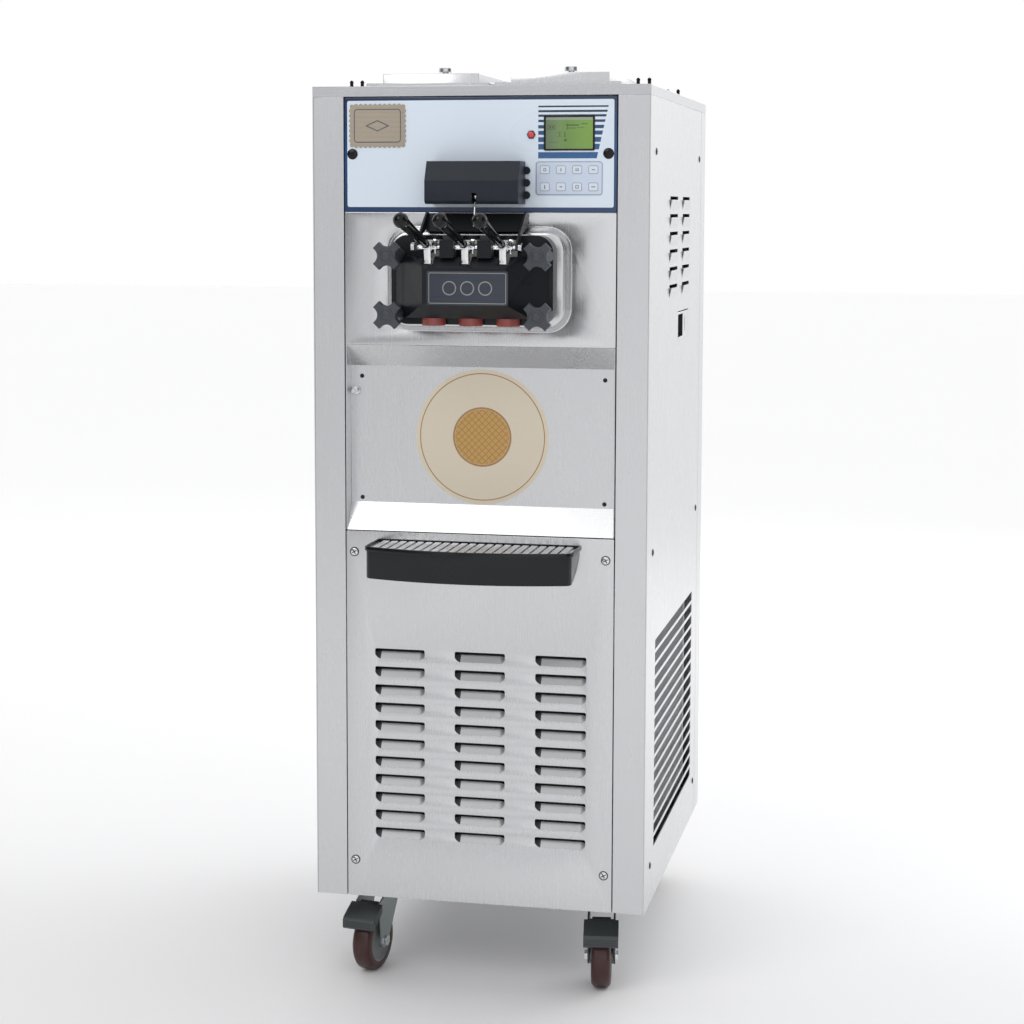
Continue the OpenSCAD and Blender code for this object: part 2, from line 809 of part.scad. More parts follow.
module beater(side) color("white") {
  x = side * barrel_half_x;
  blade_r = barrel_r - 1;
  bar_y(x, barrel_z, boss_out + 8, -barrel_rear - gear_l + 20, shaft_r);
  for (p = [boss_out - 6, (boss_out - barrel_rear) / 2, -barrel_rear + 14])
    difference() {
      bar_y(x, barrel_z, p, p - 4, blade_r);
      for (turn = [0 : 90 : 270])
        translate([x + 25 * cos(turn + 45), 0, barrel_z + 25 * sin(turn + 45)])
          bar_y(0, 0, p + 1, p - 5, 11);
    }
  for (turn = [0, 180])
    facing(boss_out - 6, -barrel_rear + 10)
      translate([x, barrel_z]) rotate(turn) translate([blade_r - 11, -3]) square([10, 6]);
}

module beater_left() beater(-1);
module beater_right() beater(1);

module beater_gearmotors() color("gray") {
  for (side = [-1, 1])
    difference() {
      union() {
        facing(-barrel_rear, -barrel_rear - gear_l)
          translate([side * barrel_half_x, barrel_z]) square([96, 108], center = true);
        bar_y(side * barrel_half_x, barrel_z, -barrel_rear - gear_l + 1,
              -barrel_rear - gear_l - motor_l, 46);
      }
      bar_y(side * barrel_half_x, barrel_z, 0, -barrel_rear - gear_l + 19, shaft_r + run_gap);
    }
}

// ---- cooling ----

comp_x = -90;
comp_back = 250;
comp_h = 205;

module compressor() color("black") {
  translate([comp_x, front_y + comp_back, base_z + base_t]) {
    translate([0, 0, 18]) cylinder(h = comp_h - 40, r = 85);
    translate([0, 0, comp_h - 22]) cylinder(h = 22, r1 = 85, r2 = 50);
    for (side = [-1, 1], end = [-1, 1]) {
      translate([side * 70, end * 70, 0]) cylinder(h = 19, r = 13);
      translate([side * 45 - 30, end * 45 - 30, 18]) cube([60, 60, 4]);
    }
  }
}

cond_x = half_w - 57;
cond_t = 45;
cond_front = grille_front + 8;
cond_len = body_d - grille_front - grille_rear - 16;
cond_h = grille_slots * grille_pitch + 6;
fan_y = front_y + cond_front + cond_len / 2;
fan_z = base_z + base_t + cond_h / 2 + 10;
fan_r = min(cond_h, cond_len) / 2 - 24;

module condenser() color("silver") {
  translate([cond_x, front_y + cond_front, base_z + base_t])
    difference() {
      cube([cond_t, cond_len, cond_h + 80]);
      for (y = [6 : (cond_len - 12) / 12 : cond_len - 7])
        translate([-1, y, 14]) cube([3, (cond_len - 12) / 12 - 5, cond_h + 52]);
    }
}

module fan_shroud() color("dimgray") {
  difference() {
    translate([cond_x - 38, front_y + cond_front, base_z + base_t])
      cube([38, cond_len, cond_h + 20]);
    translate([cond_x - 35, front_y + cond_front + 3, base_z + base_t + 3])
      cube([36, cond_len - 6, cond_h + 14]);
    translate([cond_x - 39, fan_y, fan_z]) rotate([0, 90, 0]) cylinder(h = 6, r = fan_r + 5);
  }
  difference() {
    union() {
      translate([cond_x - 110, fan_y, fan_z]) rotate([0, 90, 0]) cylinder(h = 66, r = 42);
      for (turn = [0, 120, 240])
        translate([cond_x - 50, fan_y, fan_z])
          rotate([turn, 0, 0]) {
            translate([0, -8, 30]) cube([4, 16, fan_r]);
            translate([0, -8, fan_r - 1 + 6]) cube([12.5, 16, 18]);
          }
    }
    translate([cond_x - 60, fan_y, fan_z])
      rotate([0, 90, 0]) cylinder(h = 30, r = 5 + run_gap);
  }
}

module fan_blade() color("lightsteelblue") {
  translate([cond_x - 58, fan_y, fan_z]) rotate([0, 90, 0]) cylinder(h = 50, r = 5);
  translate([cond_x - 30, fan_y, fan_z]) {
    rotate([0, 90, 0]) cylinder(h = 24, r = 32);
    for (turn = [0 : 72 : 288])
      rotate([turn, 0, 0])
        translate([12, 0, 28])
          rotate([0, 0, 22]) translate([-1, -34, 0]) cube([2, 60, fan_r - 46]);
  }
}

module electrical_box() color("lightgray") {
  translate([-post_in + 8, rear_y - sheet_t - 92, upper_low - 210]) {
    difference() {
      cube([170, 92, 210]);
      translate([2, 2, 2]) cube([166, 91, 206]);
    }
    translate([20, 60, 20]) cube([130, 32, 170]);
  }
}

// A pipe through a list of corner points, with a brazed elbow at each corner
module pipe(points, r) {
  for (i = [0 : len(points) - 2]) {
    from = points[i];
    step = points[i + 1] - from;
    length = norm(step);
    translate(from)
      rotate([0, acos(step[2] / length), atan2(step[1], step[0])])
        cylinder(h = length, r = r);
    if (i > 0) translate(from) sphere(r = r + 1);
  }
}

module refrigerant_lines() color("peru") {
  comp_top = base_z + base_t + comp_h;
  cond_top = base_z + base_t + cond_h + 80;
  line_z = cond_top + 40;
  pipe([[comp_x + 30, front_y + comp_back, comp_top],
        [comp_x + 30, front_y + comp_back, line_z],
        [cond_x + 20, front_y + comp_back, line_z],
        [cond_x + 20, front_y + comp_back, cond_top]], 5);
  pipe([[cond_x + 20, front_y + cond_front + 40, cond_top],
        [cond_x + 20, front_y + cond_front + 40, barrel_z - 30],
        [barrel_half_x + jacket_half, front_y + cond_front + 40, barrel_z - 30]], 4);
  pipe([[-barrel_half_x - jacket_half, front_y + 180, barrel_z - 30],
        [-barrel_half_x - jacket_half - 40, front_y + 180, barrel_z - 30],
        [-barrel_half_x - jacket_half - 40, front_y + 180, line_z],
        [comp_x - 20, front_y + comp_back, line_z],
        [comp_x - 20, front_y + comp_back, comp_top]], 6);
}

module cable_gland() color("black") {
  translate([gland_x, rear_y + gland_out, gland_z])
    rotate([90, 0, 0])
      difference() {
        union() {
          cylinder(h = gland_out + 20, r = gland_r + 6);
          translate([0, 0, gland_out - 6]) cylinder(h = 6, r = gland_r + 11, $fn = 6);
          translate([0, 0, gland_out + sheet_t]) cylinder(h = 6, r = gland_r + 11, $fn = 6);
        }
        translate([0, 0, -1]) cylinder(h = gland_out + 22, r = gland_r);
      }
}

// ---- drip tray, grid and leak drawer ----

// Plan of the tray, set in from its outline, with a bowed front
module tray_plan(inset) {
  bow_r = (pow(tray_half_w, 2) + pow(tray_bow, 2)) / (2 * tray_bow);
  corner = 14;
  intersection() {
    translate([-tray_half_w + inset, -tray_out - tray_bow])
      square([2 * (tray_half_w - inset), tray_out + tray_bow - max(inset, 0.2)]);
    translate([0, -tray_out - tray_bow + bow_r]) circle(r = bow_r - inset, $fn = 160);
    union() {
      square([2 * (tray_half_w - corner), 4 * tray_out], center = true);
      translate([0, -tray_out + 2 * corner]) square([3 * tray_half_w, 2 * tray_out], center = true);
      for (side = [-1, 1])
        translate([side * (tray_half_w - corner), -2 * tray_out + 2 * corner])
          circle(r = corner - inset);
    }
  }
}

// Side outline of the tray in reach and height, raised from its sloping underside
module tray_side(inset) {
  front = tray_out + tray_bow + 1;
  polygon([[-1, tray_h + 1], [-1, tray_h - 14 + inset], [22, 18 + inset], [48, 3 + inset],
           [62, inset], [front, inset], [front, tray_h + 1]]);
}

rim_h = 7;
rim_out = 2.5;
ledge = 6;

module drip_tray() color("black") {
  translate([0, 0, tray_low])
    difference() {
      intersection() {
        translate([0, front_y, 0]) {
          linear_extrude(tray_h) tray_plan(rim_out);
          translate([0, 0, tray_h - rim_h]) linear_extrude(rim_h) tray_plan(0);
        }
        across(-tray_half_w - 1, tray_half_w + 1) tray_side(0);
      }
      intersection() {
        translate([0, front_y, 0]) linear_extrude(tray_h + 1) tray_plan(tray_t + ledge);
        across(-tray_half_w, tray_half_w) tray_side(tray_t);
      }
      translate([0, front_y, tray_h - ledge]) linear_extrude(ledge + 1) tray_plan(tray_t);
    }
}

module drip_grid() color("silver") {
  grid_half = tray_half_w - tray_t - 14;
  grid_pitch = 2 * grid_half / (grid_bars - 1);
  bar_w = 0.74 * grid_pitch;
  translate([0, front_y, tray_top - ledge + 0.2]) {
    difference() {
      linear_extrude(2) tray_plan(tray_t + 0.5);
      translate([0, 0, -1]) linear_extrude(4) tray_plan(tray_t + ledge + 3);
    }
    intersection() {
      for (bar = [0 : grid_bars - 1])
        translate([-grid_half + grid_pitch * bar - bar_w / 2, -tray_out - tray_bow, 1])
          cube([bar_w, tray_out + tray_bow, 3.2]);
      linear_extrude(6) tray_plan(tray_t + 3);
    }
    for (y = [30, 70])
      translate([-grid_half - 4, -y - 2, 0]) cube([2 * grid_half + 8, 4, 2]);
  }
}

module leak_drawer() color("silver") {
  translate([0, front_y + drawer_front + 1, drawer_low + 0.1])
    difference() {
      translate([half_w - drawer_reach, 0, 0])
        cube([drawer_reach, drawer_l, drawer_h]);
      translate([half_w - drawer_reach + sheet_t, sheet_t, sheet_t])
        cube([drawer_reach - 10, drawer_l - 2 * sheet_t, drawer_h]);
      translate([half_w - 7, 2, 4]) cube([8, 59, drawer_h - 8]);
      translate([half_w - 4, drawer_l - 42, 12]) cube([5, 4, 23]);
    }
}

module hopper_lid(side) color("gainsboro") {
  translate([side * lid_half_x, front_y + hopper_mid, top_z + 0.1]) {
    difference() {
      union() {
        translate([0, 0, lid_low_h / 2]) cube([lid_w, lid_l, lid_low_h], center = true);
        translate([0, 0, lid_low_h + lid_high_h / 2])
          cube([lid_w - 2 * lid_step, lid_l - 2 * lid_step, lid_high_h], center = true);
      }
      translate([0, 0, lid_low_h / 2 - lid_t])
        cube([lid_w - 2 * lid_t, lid_l - 2 * lid_t, lid_low_h], center = true);
      translate([0, 0, lid_low_h + lid_high_h / 2 - lid_t - 1])
        cube([lid_w - 2 * lid_step - 2 * lid_t, lid_l - 2 * lid_step - 2 * lid_t,
              lid_high_h + 2], center = true);
    }
    translate([0, -40, lid_low_h + lid_high_h]) {
      cylinder(h = 9, r = 6);
      translate([0, 0, 8]) cylinder(h = 7, r = 12);
    }
  }
}

module hopper_lid_left() hopper_lid(-1);
module hopper_lid_right() hopper_lid(1);

// ---- casters ----

function turn_of(front, side) = front ? (side < 0 ? turn_left : turn_right) : 180;
function caster_y(front) = front ? front_y + caster_in_y : rear_y - caster_in_y;

// Puts a caster's own frame, with its swivel axis at the origin, in its corner
module at_caster(front, side) {
  translate([side * (half_w - caster_in_x), caster_y(front), 0])
    rotate([0, 0, turn_of(front, side)]) children();
}

module caster_plates() color("silver") {
  for (front = [true, false], side = [-1, 1])
    at_caster(front, side) {
      difference() {
        translate([-37, -42, caster_h - plate_t]) cube([74, 84, plate_t]);
        for (x = [-1, 1], y = [-1, 1])
          translate([x * 29, y * 34, caster_h - plate_t - 1]) cylinder(h = plate_t + 2, r = 4.5);
      }
      translate([0, 0, caster_h - plate_t - race_t]) cylinder(h = race_t + 0.5, r = 26);
      translate([0, 0, crown_top - crown_t - 5]) cylinder(h = crown_t + 6, r = king_r);
      translate([0, 0, crown_top - crown_t - 6]) cylinder(h = 5.7, r = 10, $fn = 6);
    }
}

module leg_outline() {
  polygon([[-25, crown_top], [25, crown_top], [25, crown_top - 14],
           [-caster_trail + 13, wheel_r - 4], [-caster_trail + 6, wheel_r - 12],
           [-caster_trail - 6, wheel_r - 12], [-caster_trail - 13, wheel_r - 4],
           [-pedal_back - 7, pedal_z - 6], [-pedal_back - 6, pedal_z + 6]]);
}

module caster_fork(front, side) color("dimgray") {
  at_caster(front, side) {
    difference() {
      translate([-leg_in - leg_t, -25, crown_top - crown_t])
        cube([2 * (leg_in + leg_t), 50, crown_t]);
      translate([0, 0, crown_top - crown_t - 1])
        cylinder(h = crown_t + 2, r = king_r + run_gap);
    }
    for (x = [-leg_in - leg_t, leg_in])
      translate([x, 0, 0])
        rotate([90, 0, 90]) linear_extrude(leg_t) leg_outline();
    translate([-leg_in - leg_t - 3, -caster_trail, wheel_r])
      rotate([0, 90, 0]) cylinder(h = 2 * (leg_in + leg_t) + 6, r = 5);
    for (x = [-leg_in - leg_t - 5, leg_in + leg_t])
      translate([x, -caster_trail, wheel_r])
        rotate([0, 90, 0]) cylinder(h = 5, r = 9, $fn = 6);
    if (front)
      translate([-leg_in - 1, -pedal_back, pedal_z])
        rotate([0, 90, 0]) cylinder(h = 2 * leg_in + 2, r = 3);
  }
}

module caster_fork_front_left() caster_fork(true, -1);
module caster_fork_front_right() caster_fork(true, 1);
module caster_fork_rear_left() caster_fork(false, -1);
module caster_fork_rear_right() caster_fork(false, 1);

module caster_wheel(front, side) color("maroon") {
  at_caster(front, side)
    translate([0, -caster_trail, wheel_r])
      rotate([0, 90, 0])
        rotate_extrude()
          difference() {
            union() {
              translate([5 + run_gap, -wheel_w / 2]) square([wheel_r - 13 - run_gap, wheel_w]);
              translate([5 + run_gap, -leg_in + 0.5]) square([8, 2 * leg_in - 1]);
              translate([wheel_r - 9, -wheel_w / 2 + 8]) square([9, wheel_w - 16]);
              translate([wheel_r - 9, -wheel_w / 2]) square([1, wheel_w]);
              for (end = [-1, 1])
                translate([wheel_r - 8, end * (wheel_w / 2 - 8)]) circle(r = 8);
            }
            for (end = [-1, 1])
              translate([18, end * wheel_w / 2 - 4]) square([16, 8]);
          }
}

module caster_wheel_front_left() caster_wheel(true, -1);
module caster_wheel_front_right() caster_wheel(true, 1);
module caster_wheel_rear_left() caster_wheel(false, -1);
module caster_wheel_rear_right() caster_wheel(false, 1);

// Side outline of the pedal in reach from the swivel axis and Z
module pedal_side() {
  polygon([[-pedal_back - 10, pedal_z - 8], [-pedal_back - 10, pedal_z + 5],
           [-pedal_front + 3, pedal_z - 12], [-pedal_front, pedal_z - 17],
           [-pedal_front, pedal_z - 29], [-pedal_front + 4, pedal_z - 32],
           [-pedal_front + 12, pedal_z - 24]]);
}

module brake_pedal(side) color("black") {
  at_caster(true, side) {
    translate([-28, 0, 0]) rotate([90, 0, 90]) linear_extrude(56) pedal_side();
    difference() {
      union() {
        translate([-15, -pedal_back - 12, pedal_z - 5]) cube([30, 12, 9]);
        translate([-15, -pedal_back, pedal_z]) rotate([0, 90, 0]) cylinder(h = 30, r = 6);
      }
      translate([-16, -pedal_back, pedal_z])
        rotate([0, 90, 0]) cylinder(h = 32, r = 3 + run_gap);
    }
  }
}

module brake_pedal_left() brake_pedal(-1);
module brake_pedal_right() brake_pedal(1);

base_pan();
corner_posts();
side_panel_left();
side_panel_right();
rear_panel();
top_cover();
front_upper_panel();
control_fascia();
display_window();
membrane_keypad();
indicator_lamp();
switch_box();
dispensing_head();
door_studs();
handle_rod();
nozzle_caps();
splash_panel();
lower_front_panel();
panel_screws();
top_pegs();
freezing_barrels();
mix_hoppers();
beater_gearmotors();
compressor();
condenser();
fan_shroud();
electrical_box();
refrigerant_lines();
cable_gland();
caster_plates();
draw_handle_left();
draw_handle_centre();
draw_handle_right();
plunger_left();
plunger_centre();
plunger_right();
draw_plate();
actuator_rod();
star_knob_upper_left();
star_knob_upper_right();
star_knob_lower_left();
star_knob_lower_right();
hopper_lid_left();
hopper_lid_right();
beater_left();
beater_right();
fan_blade();
drip_tray();
drip_grid();
leak_drawer();
caster_fork_front_left();
caster_fork_front_right();
caster_fork_rear_left();
caster_fork_rear_right();
caster_wheel_front_left();
caster_wheel_front_right();
caster_wheel_rear_left();
caster_wheel_rear_right();
brake_pedal_left();
brake_pedal_right();
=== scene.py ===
import json
import math

import bmesh
import bpy
from bpy.props import FloatProperty, FloatVectorProperty, IntProperty, PointerProperty
from mathutils import Matrix, Vector

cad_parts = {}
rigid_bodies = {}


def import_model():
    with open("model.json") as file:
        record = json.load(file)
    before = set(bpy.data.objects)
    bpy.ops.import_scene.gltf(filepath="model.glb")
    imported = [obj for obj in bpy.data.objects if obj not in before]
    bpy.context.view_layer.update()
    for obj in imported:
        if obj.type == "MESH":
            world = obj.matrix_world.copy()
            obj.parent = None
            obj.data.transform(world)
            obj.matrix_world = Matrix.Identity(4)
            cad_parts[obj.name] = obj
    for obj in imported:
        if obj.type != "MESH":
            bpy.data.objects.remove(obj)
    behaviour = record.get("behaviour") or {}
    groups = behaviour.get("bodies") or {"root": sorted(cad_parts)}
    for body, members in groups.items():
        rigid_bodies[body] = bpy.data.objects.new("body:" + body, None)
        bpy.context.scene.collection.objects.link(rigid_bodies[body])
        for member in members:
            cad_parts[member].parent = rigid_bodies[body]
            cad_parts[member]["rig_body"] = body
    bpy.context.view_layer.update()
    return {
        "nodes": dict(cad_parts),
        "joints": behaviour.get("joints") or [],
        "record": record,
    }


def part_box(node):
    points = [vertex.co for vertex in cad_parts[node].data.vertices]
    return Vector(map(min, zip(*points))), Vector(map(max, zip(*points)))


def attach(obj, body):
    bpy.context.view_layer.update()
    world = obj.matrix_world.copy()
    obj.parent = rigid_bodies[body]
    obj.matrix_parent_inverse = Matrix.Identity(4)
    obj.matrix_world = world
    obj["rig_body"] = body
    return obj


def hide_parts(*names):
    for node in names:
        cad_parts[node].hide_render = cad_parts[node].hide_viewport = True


# Looks of a floor-standing soft-serve ice cream maker, built around its frame.
# Meshes are worked out in millimetres in the frame's own axes and scaled at the end.

bl_info = {
    "name": "Soft-serve ice cream maker",
    "version": (1, 0, 0),
    "blender": (4, 5, 0),
    "location": "3D Viewport > Sidebar > Soft serve",
    "description": "Detailed pieces and finishes for a floor-standing soft-serve machine",
    "category": "Add Mesh",
}

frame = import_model()
MM = 0.001
JOINT = {joint["name"]: joint for joint in frame["joints"]}
SLOT_OF = {row["node"]: row["material_slot"] for row in frame["record"]["subparts"]}


def cad(node):
    """Lowest and highest corners of a frame node, in millimetres."""
    low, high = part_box(node)
    return low / MM, high / MM


FRONT = cad("corner_posts")[0].y
BASE = cad("corner_posts")[0].z
HALF_W = cad("rear_panel")[1].x
REAR = cad("rear_panel")[1].y
TOP = cad("top_cover")[1].z
FASCIA_LOW, FASCIA_HIGH = cad("control_fascia")[0].z, cad("control_fascia")[1].z
PANEL_HALF = cad("control_fascia")[1].x
HEAD_LOW, HEAD_HIGH = cad("dispensing_head")[0].z, cad("dispensing_head")[1].z
HEAD_OUT = FRONT - cad("dispensing_head")[0].y
HEAD_MID = (HEAD_LOW + HEAD_HIGH) / 2
LOWER_TOP = cad("lower_front_panel")[1].z
UPPER_LOW = cad("front_upper_panel")[0].z
SPLASH_LOW, SPLASH_HIGH = cad("splash_panel")[0].z, cad("splash_panel")[1].z
RECESS = cad("splash_panel")[1].y - FRONT - 1.5
DISPLAY_LOW, DISPLAY_HIGH = cad("display_window")
KEYPAD_LOW, KEYPAD_HIGH = cad("membrane_keypad")


def at(x, reach, z):
    """A point by its reach in front of the cabinet's front face."""
    return Vector((x, FRONT - reach, z))


# ---- node trees ----


class Val:
    """A node's output. Arithmetic on it adds Math nodes to its tree."""

    def __init__(self, net, socket):
        self.net, self.socket = net, socket

    def calc(self, operation, *terms):
        return self.net.node("ShaderNodeMath", {"operation": operation}, dict(enumerate(terms)))

    def __add__(self, other):
        return self.calc("ADD", self, other)

    def __sub__(self, other):
        return self.calc("SUBTRACT", self, other)

    def __rsub__(self, other):
        return self.calc("SUBTRACT", other, self)

    def __mul__(self, other):
        return self.calc("MULTIPLY", self, other)

    def __truediv__(self, other):
        return self.calc("DIVIDE", self, other)

    def __abs__(self):
        return self.calc("ABSOLUTE", self)

    def __pow__(self, power):
        return self.calc("POWER", self, power)

    def __lt__(self, other):
        return self.calc("LESS_THAN", self, other)

    def __gt__(self, other):
        return self.calc("GREATER_THAN", self, other)

    def __or__(self, other):
        return self.calc("MAXIMUM", self, other)

    def __and__(self, other):
        return self.calc("MINIMUM", self, other)

    __radd__ = __add__
    __rmul__ = __mul__


class Net:
    """A shader or geometry tree under construction."""

    def __init__(self, tree):
        self.tree = tree

    def node(self, kind, settings=None, inputs=None, output=0):
        made = self.tree.nodes.new(kind)
        for key, value in (settings or {}).items():
            if key == "stops":
                ramp = made.color_ramp
                while len(ramp.elements) < len(value):
                    ramp.elements.new(1.0)
                for stop, (position, colour) in zip(ramp.elements, value):
                    stop.position, stop.color = position, (*colour, 1.0)
            else:
                setattr(made, key, value)
        for key, value in (inputs or {}).items():
            if isinstance(value, Val):
                self.tree.links.new(value.socket, made.inputs[key])
            elif made.inputs[key].type == "RGBA" and len(value) == 3:
                made.inputs[key].default_value = (*value, 1.0)
            else:
                made.inputs[key].default_value = value
        return Val(self, made.outputs[output]) if len(made.outputs) else None

    def point(self):
        return self.node("ShaderNodeTexCoord", output="Object")

    def parts(self, vector):
        split = self.node("ShaderNodeSeparateXYZ", inputs={0: vector})
        return [Val(self, split.socket.node.outputs[i]) for i in range(3)]

    def scaled(self, vector, scale, turn=(0.0, 0.0, 0.0)):
        return self.node("ShaderNodeMapping", inputs={"Vector": vector, "Scale": scale, "Rotation": turn})

    def noise(self, vector, scale, detail=3.0, roughness=0.5):
        settings = {"Vector": vector, "Scale": scale, "Detail": detail, "Roughness": roughness}
        return self.node("ShaderNodeTexNoise", inputs=settings)

    def mix(self, factor, first, second):
        return self.node("ShaderNodeMix", {"data_type": "RGBA"}, {0: factor, 6: first, 7: second}, 2)

    def ramp(self, factor, stops):
        return self.node("ShaderNodeValToRGB", {"stops": stops}, {0: factor})

    def bump(self, height, strength, distance, under=None):
        inputs = {"Height": height, "Strength": strength, "Distance": distance}
        if under is not None:
            inputs["Normal"] = under
        return self.node("ShaderNodeBump", inputs=inputs)


def material(name, build):
    """A material whose Principled inputs come from build(net)."""
    made = bpy.data.materials.new(name)
    made.use_nodes = True
    made.node_tree.nodes.clear()
    net = Net(made.node_tree)
    shader = net.node("ShaderNodeBsdfPrincipled", inputs=build(net))
    net.node("ShaderNodeOutputMaterial", inputs={"Surface": shader})
    return made


def box_mask(u, v, middle_u, middle_v, width, height):
    """One inside an upright rectangle and nought outside."""
    return (abs(u - middle_u) < width / 2) * (abs(v - middle_v) < height / 2)


def rounded_distance(u, v, middle_u, middle_v, width, height, radius):
    """Distance outside the outline of a rounded rectangle, negative inside."""
    over_u = (abs(u - middle_u) - (width / 2 - radius)) | 0.0
    over_v = (abs(v - middle_v) - (height / 2 - radius)) | 0.0
    return ((over_u * over_u + over_v * over_v) ** 0.5) - radius


# ---- finishes ----


def brushed_steel(colour, rough, grain=(620.0, 620.0, 5.0), depth=0.10):
    """Sheet steel with fine drawn lines, faint hand marks and cloudy patches."""

    def build(net):
        point = net.point()
        lines = net.noise(net.scaled(point, grain), 1.0, 3.0, 0.65)
        clouds = net.noise(point, 2.3, 3.0, 0.5)
        marks = net.noise(point, 17.0, 4.0, 0.62)
        dark = tuple(0.94 * c for c in colour)
        tone = (lines * 0.45 + clouds * 0.7 - 0.1) | 0.0
        return {
            "Base Color": net.mix(tone & 1.0, dark, colour),
            "Metallic": 1.0,
            "Roughness": rough + (lines - 0.5) * 0.10 + (marks - 0.5) * 0.07,
            "Normal": net.bump(lines, depth, 0.00005),
            "Specular IOR Level": 0.5,
        }

    return build


def polished_steel(colour, rough):
    """Turned and polished steel with fine rubbed scratches."""

    def build(net):
        point = net.point()
        rub = net.noise(net.scaled(point, (900.0, 250.0, 900.0)), 1.0, 2.0, 0.6)
        dust = net.noise(point, 60.0, 4.0, 0.7)
        return {
            "Base Color": net.mix(dust * 0.35, colour, tuple(0.7 * c for c in colour)),
            "Metallic": 1.0,
            "Roughness": rough + (rub - 0.5) * 0.08 + (dust > 0.66) * 0.08,
            "Normal": net.bump(rub, 0.05, 0.0001),
        }

    return build


def plastic(colour, rough, grain=900.0, depth=0.08, coat=0.0, fade=0.25, shine=0.5):
    """Moulded or machined plastic: a fine spark texture, worn shine and slight fading."""

    def build(net):
        point = net.point()
        spark = net.noise(point, grain, 2.0, 0.6)
        wear = net.noise(point, 22.0, 4.0, 0.6)
        pale = tuple(c + fade * 0.06 for c in colour)
        return {
            "Base Color": net.mix(wear * 0.8, colour, pale),
            "Roughness": rough + (wear - 0.5) * 0.16 + (spark - 0.5) * 0.06,
            "Normal": net.bump(spark, depth, 0.00015),
            "Coat Weight": coat,
            "Coat Roughness": 0.06,
            "Specular IOR Level": shine,
        }

    return build


def paint(colour, rough, peel=260.0, depth=0.12, flake=0.0):
    """Sprayed or cast coating with orange peel and small chips of tone."""

    def build(net):
        point = net.point()
        skin = net.noise(point, peel, 2.0, 0.5)
        specks = net.noise(point, 1400.0, 1.0, 0.5)
        tone = net.noise(point, 9.0, 3.0, 0.55)
        dark = tuple(0.82 * c for c in colour)
        return {
            "Base Color": net.mix((tone * 0.7 + specks * 0.4) & 1.0, dark, colour),
            "Metallic": flake,
            "Roughness": rough + (skin - 0.5) * 0.12,
            "Normal": net.bump(skin, depth, 0.0003),
        }

    return build


def tyre_rubber(colour):
    """Cast polyurethane tread with scuffs on the rolling face."""

    def build(net):
        point = net.point()
        scuff = net.noise(point, 120.0, 5.0, 0.7)
        broad = net.noise(point, 18.0, 2.0, 0.5)
        worn = tuple(min(1.0, 1.7 * c + 0.02) for c in colour)
        return {
            "Base Color": net.mix(((scuff - 0.45) * 2.0 * broad) | 0.0, colour, worn),
            "Roughness": 0.30 + scuff * 0.22,
            "Normal": net.bump(scuff, 0.10, 0.0003),
            "Coat Weight": 0.15,
        }

    return build


def fascia_film(net):
    """Printed film: a pale field, a blue border and a block of blue bars."""
    x, _, z = [value / MM for value in net.parts(net.point())]
    shade = net.noise(net.point(), 3.0, 2.0, 0.5)
    field = net.mix(shade, (0.72, 0.84, 0.97), (0.84, 0.91, 0.99))
    mid_z, height = (FASCIA_LOW + FASCIA_HIGH) / 2, FASCIA_HIGH - FASCIA_LOW
    inner = rounded_distance(x, z, 0.0, mid_z + 1.5, 2 * PANEL_HALF - 9.0, height - 13.0, 3.0)
    high = (z - FASCIA_LOW) / height
    border = net.ramp(high,
                      [(0.0, (0.010, 0.042, 0.13)), (0.5, (0.012, 0.07, 0.20)),
                       (1.0, (0.012, 0.03, 0.085))])
    bars = None
    for level, thick in FASCIA_BARS:
        bar = abs(z - (BASE + level)) < thick / 2
        bars = bar if bars is None else bars | bar
    right = 187.0 + (z - (BASE + 1197.5)) * 0.2252
    bars = bars * (x > 94.0) * (x < right)
    ink = net.ramp((z - (BASE + 1190.0)) / 85.0,
                   [(0.0, (0.012, 0.115, 0.32)), (0.5, (0.01, 0.07, 0.2)), (1.0, (0.005, 0.012, 0.03))])
    printed = net.mix(bars, field, ink)
    return {
        "Base Color": net.mix(inner > 0.0, printed, border),
        "Roughness": 0.24 + shade * 0.08,
        "Normal": net.bump(net.noise(net.point(), 500.0, 2.0, 0.5), 0.03, 0.0001),
        "Coat Weight": 0.35,
        "Coat Roughness": 0.12,
    }


FASCIA_BARS = [
    (1272.7, 2.5), (1265.5, 3.3), (1258.6, 3.6), (1250.6, 3.9), (1241.6, 5.2),
    (1232.4, 6.3), (1222.0, 7.5), (1211.0, 8.6), (1197.9, 9.7),
]


def badge_film(net):
    """Tan badge with a thin rounded outline and a plain lozenge."""
    x, _, z = [value / MM for value in net.parts(net.point())]
    middle_x, middle_z = -PANEL_HALF + 54.0, FASCIA_HIGH - 44.0
    fibre = net.noise(net.point(), 420.0, 3.0, 0.6)
    ground = net.mix(fibre, (0.38, 0.325, 0.255), (0.45, 0.385, 0.305))
    edge = abs(rounded_distance(x, z, middle_x, middle_z, 75.0, 51.0, 5.0)) < 0.75
    lozenge = abs((abs(x - middle_x) * 0.45 + abs(z - middle_z)) - 8.0) < 0.9
    return {
        "Base Color": net.mix((edge | lozenge) * 0.85, ground, (0.035, 0.05, 0.09)),
        "Roughness": 0.42 + fibre * 0.1,
        "Normal": net.bump(fibre, 0.06, 0.0001),
    }


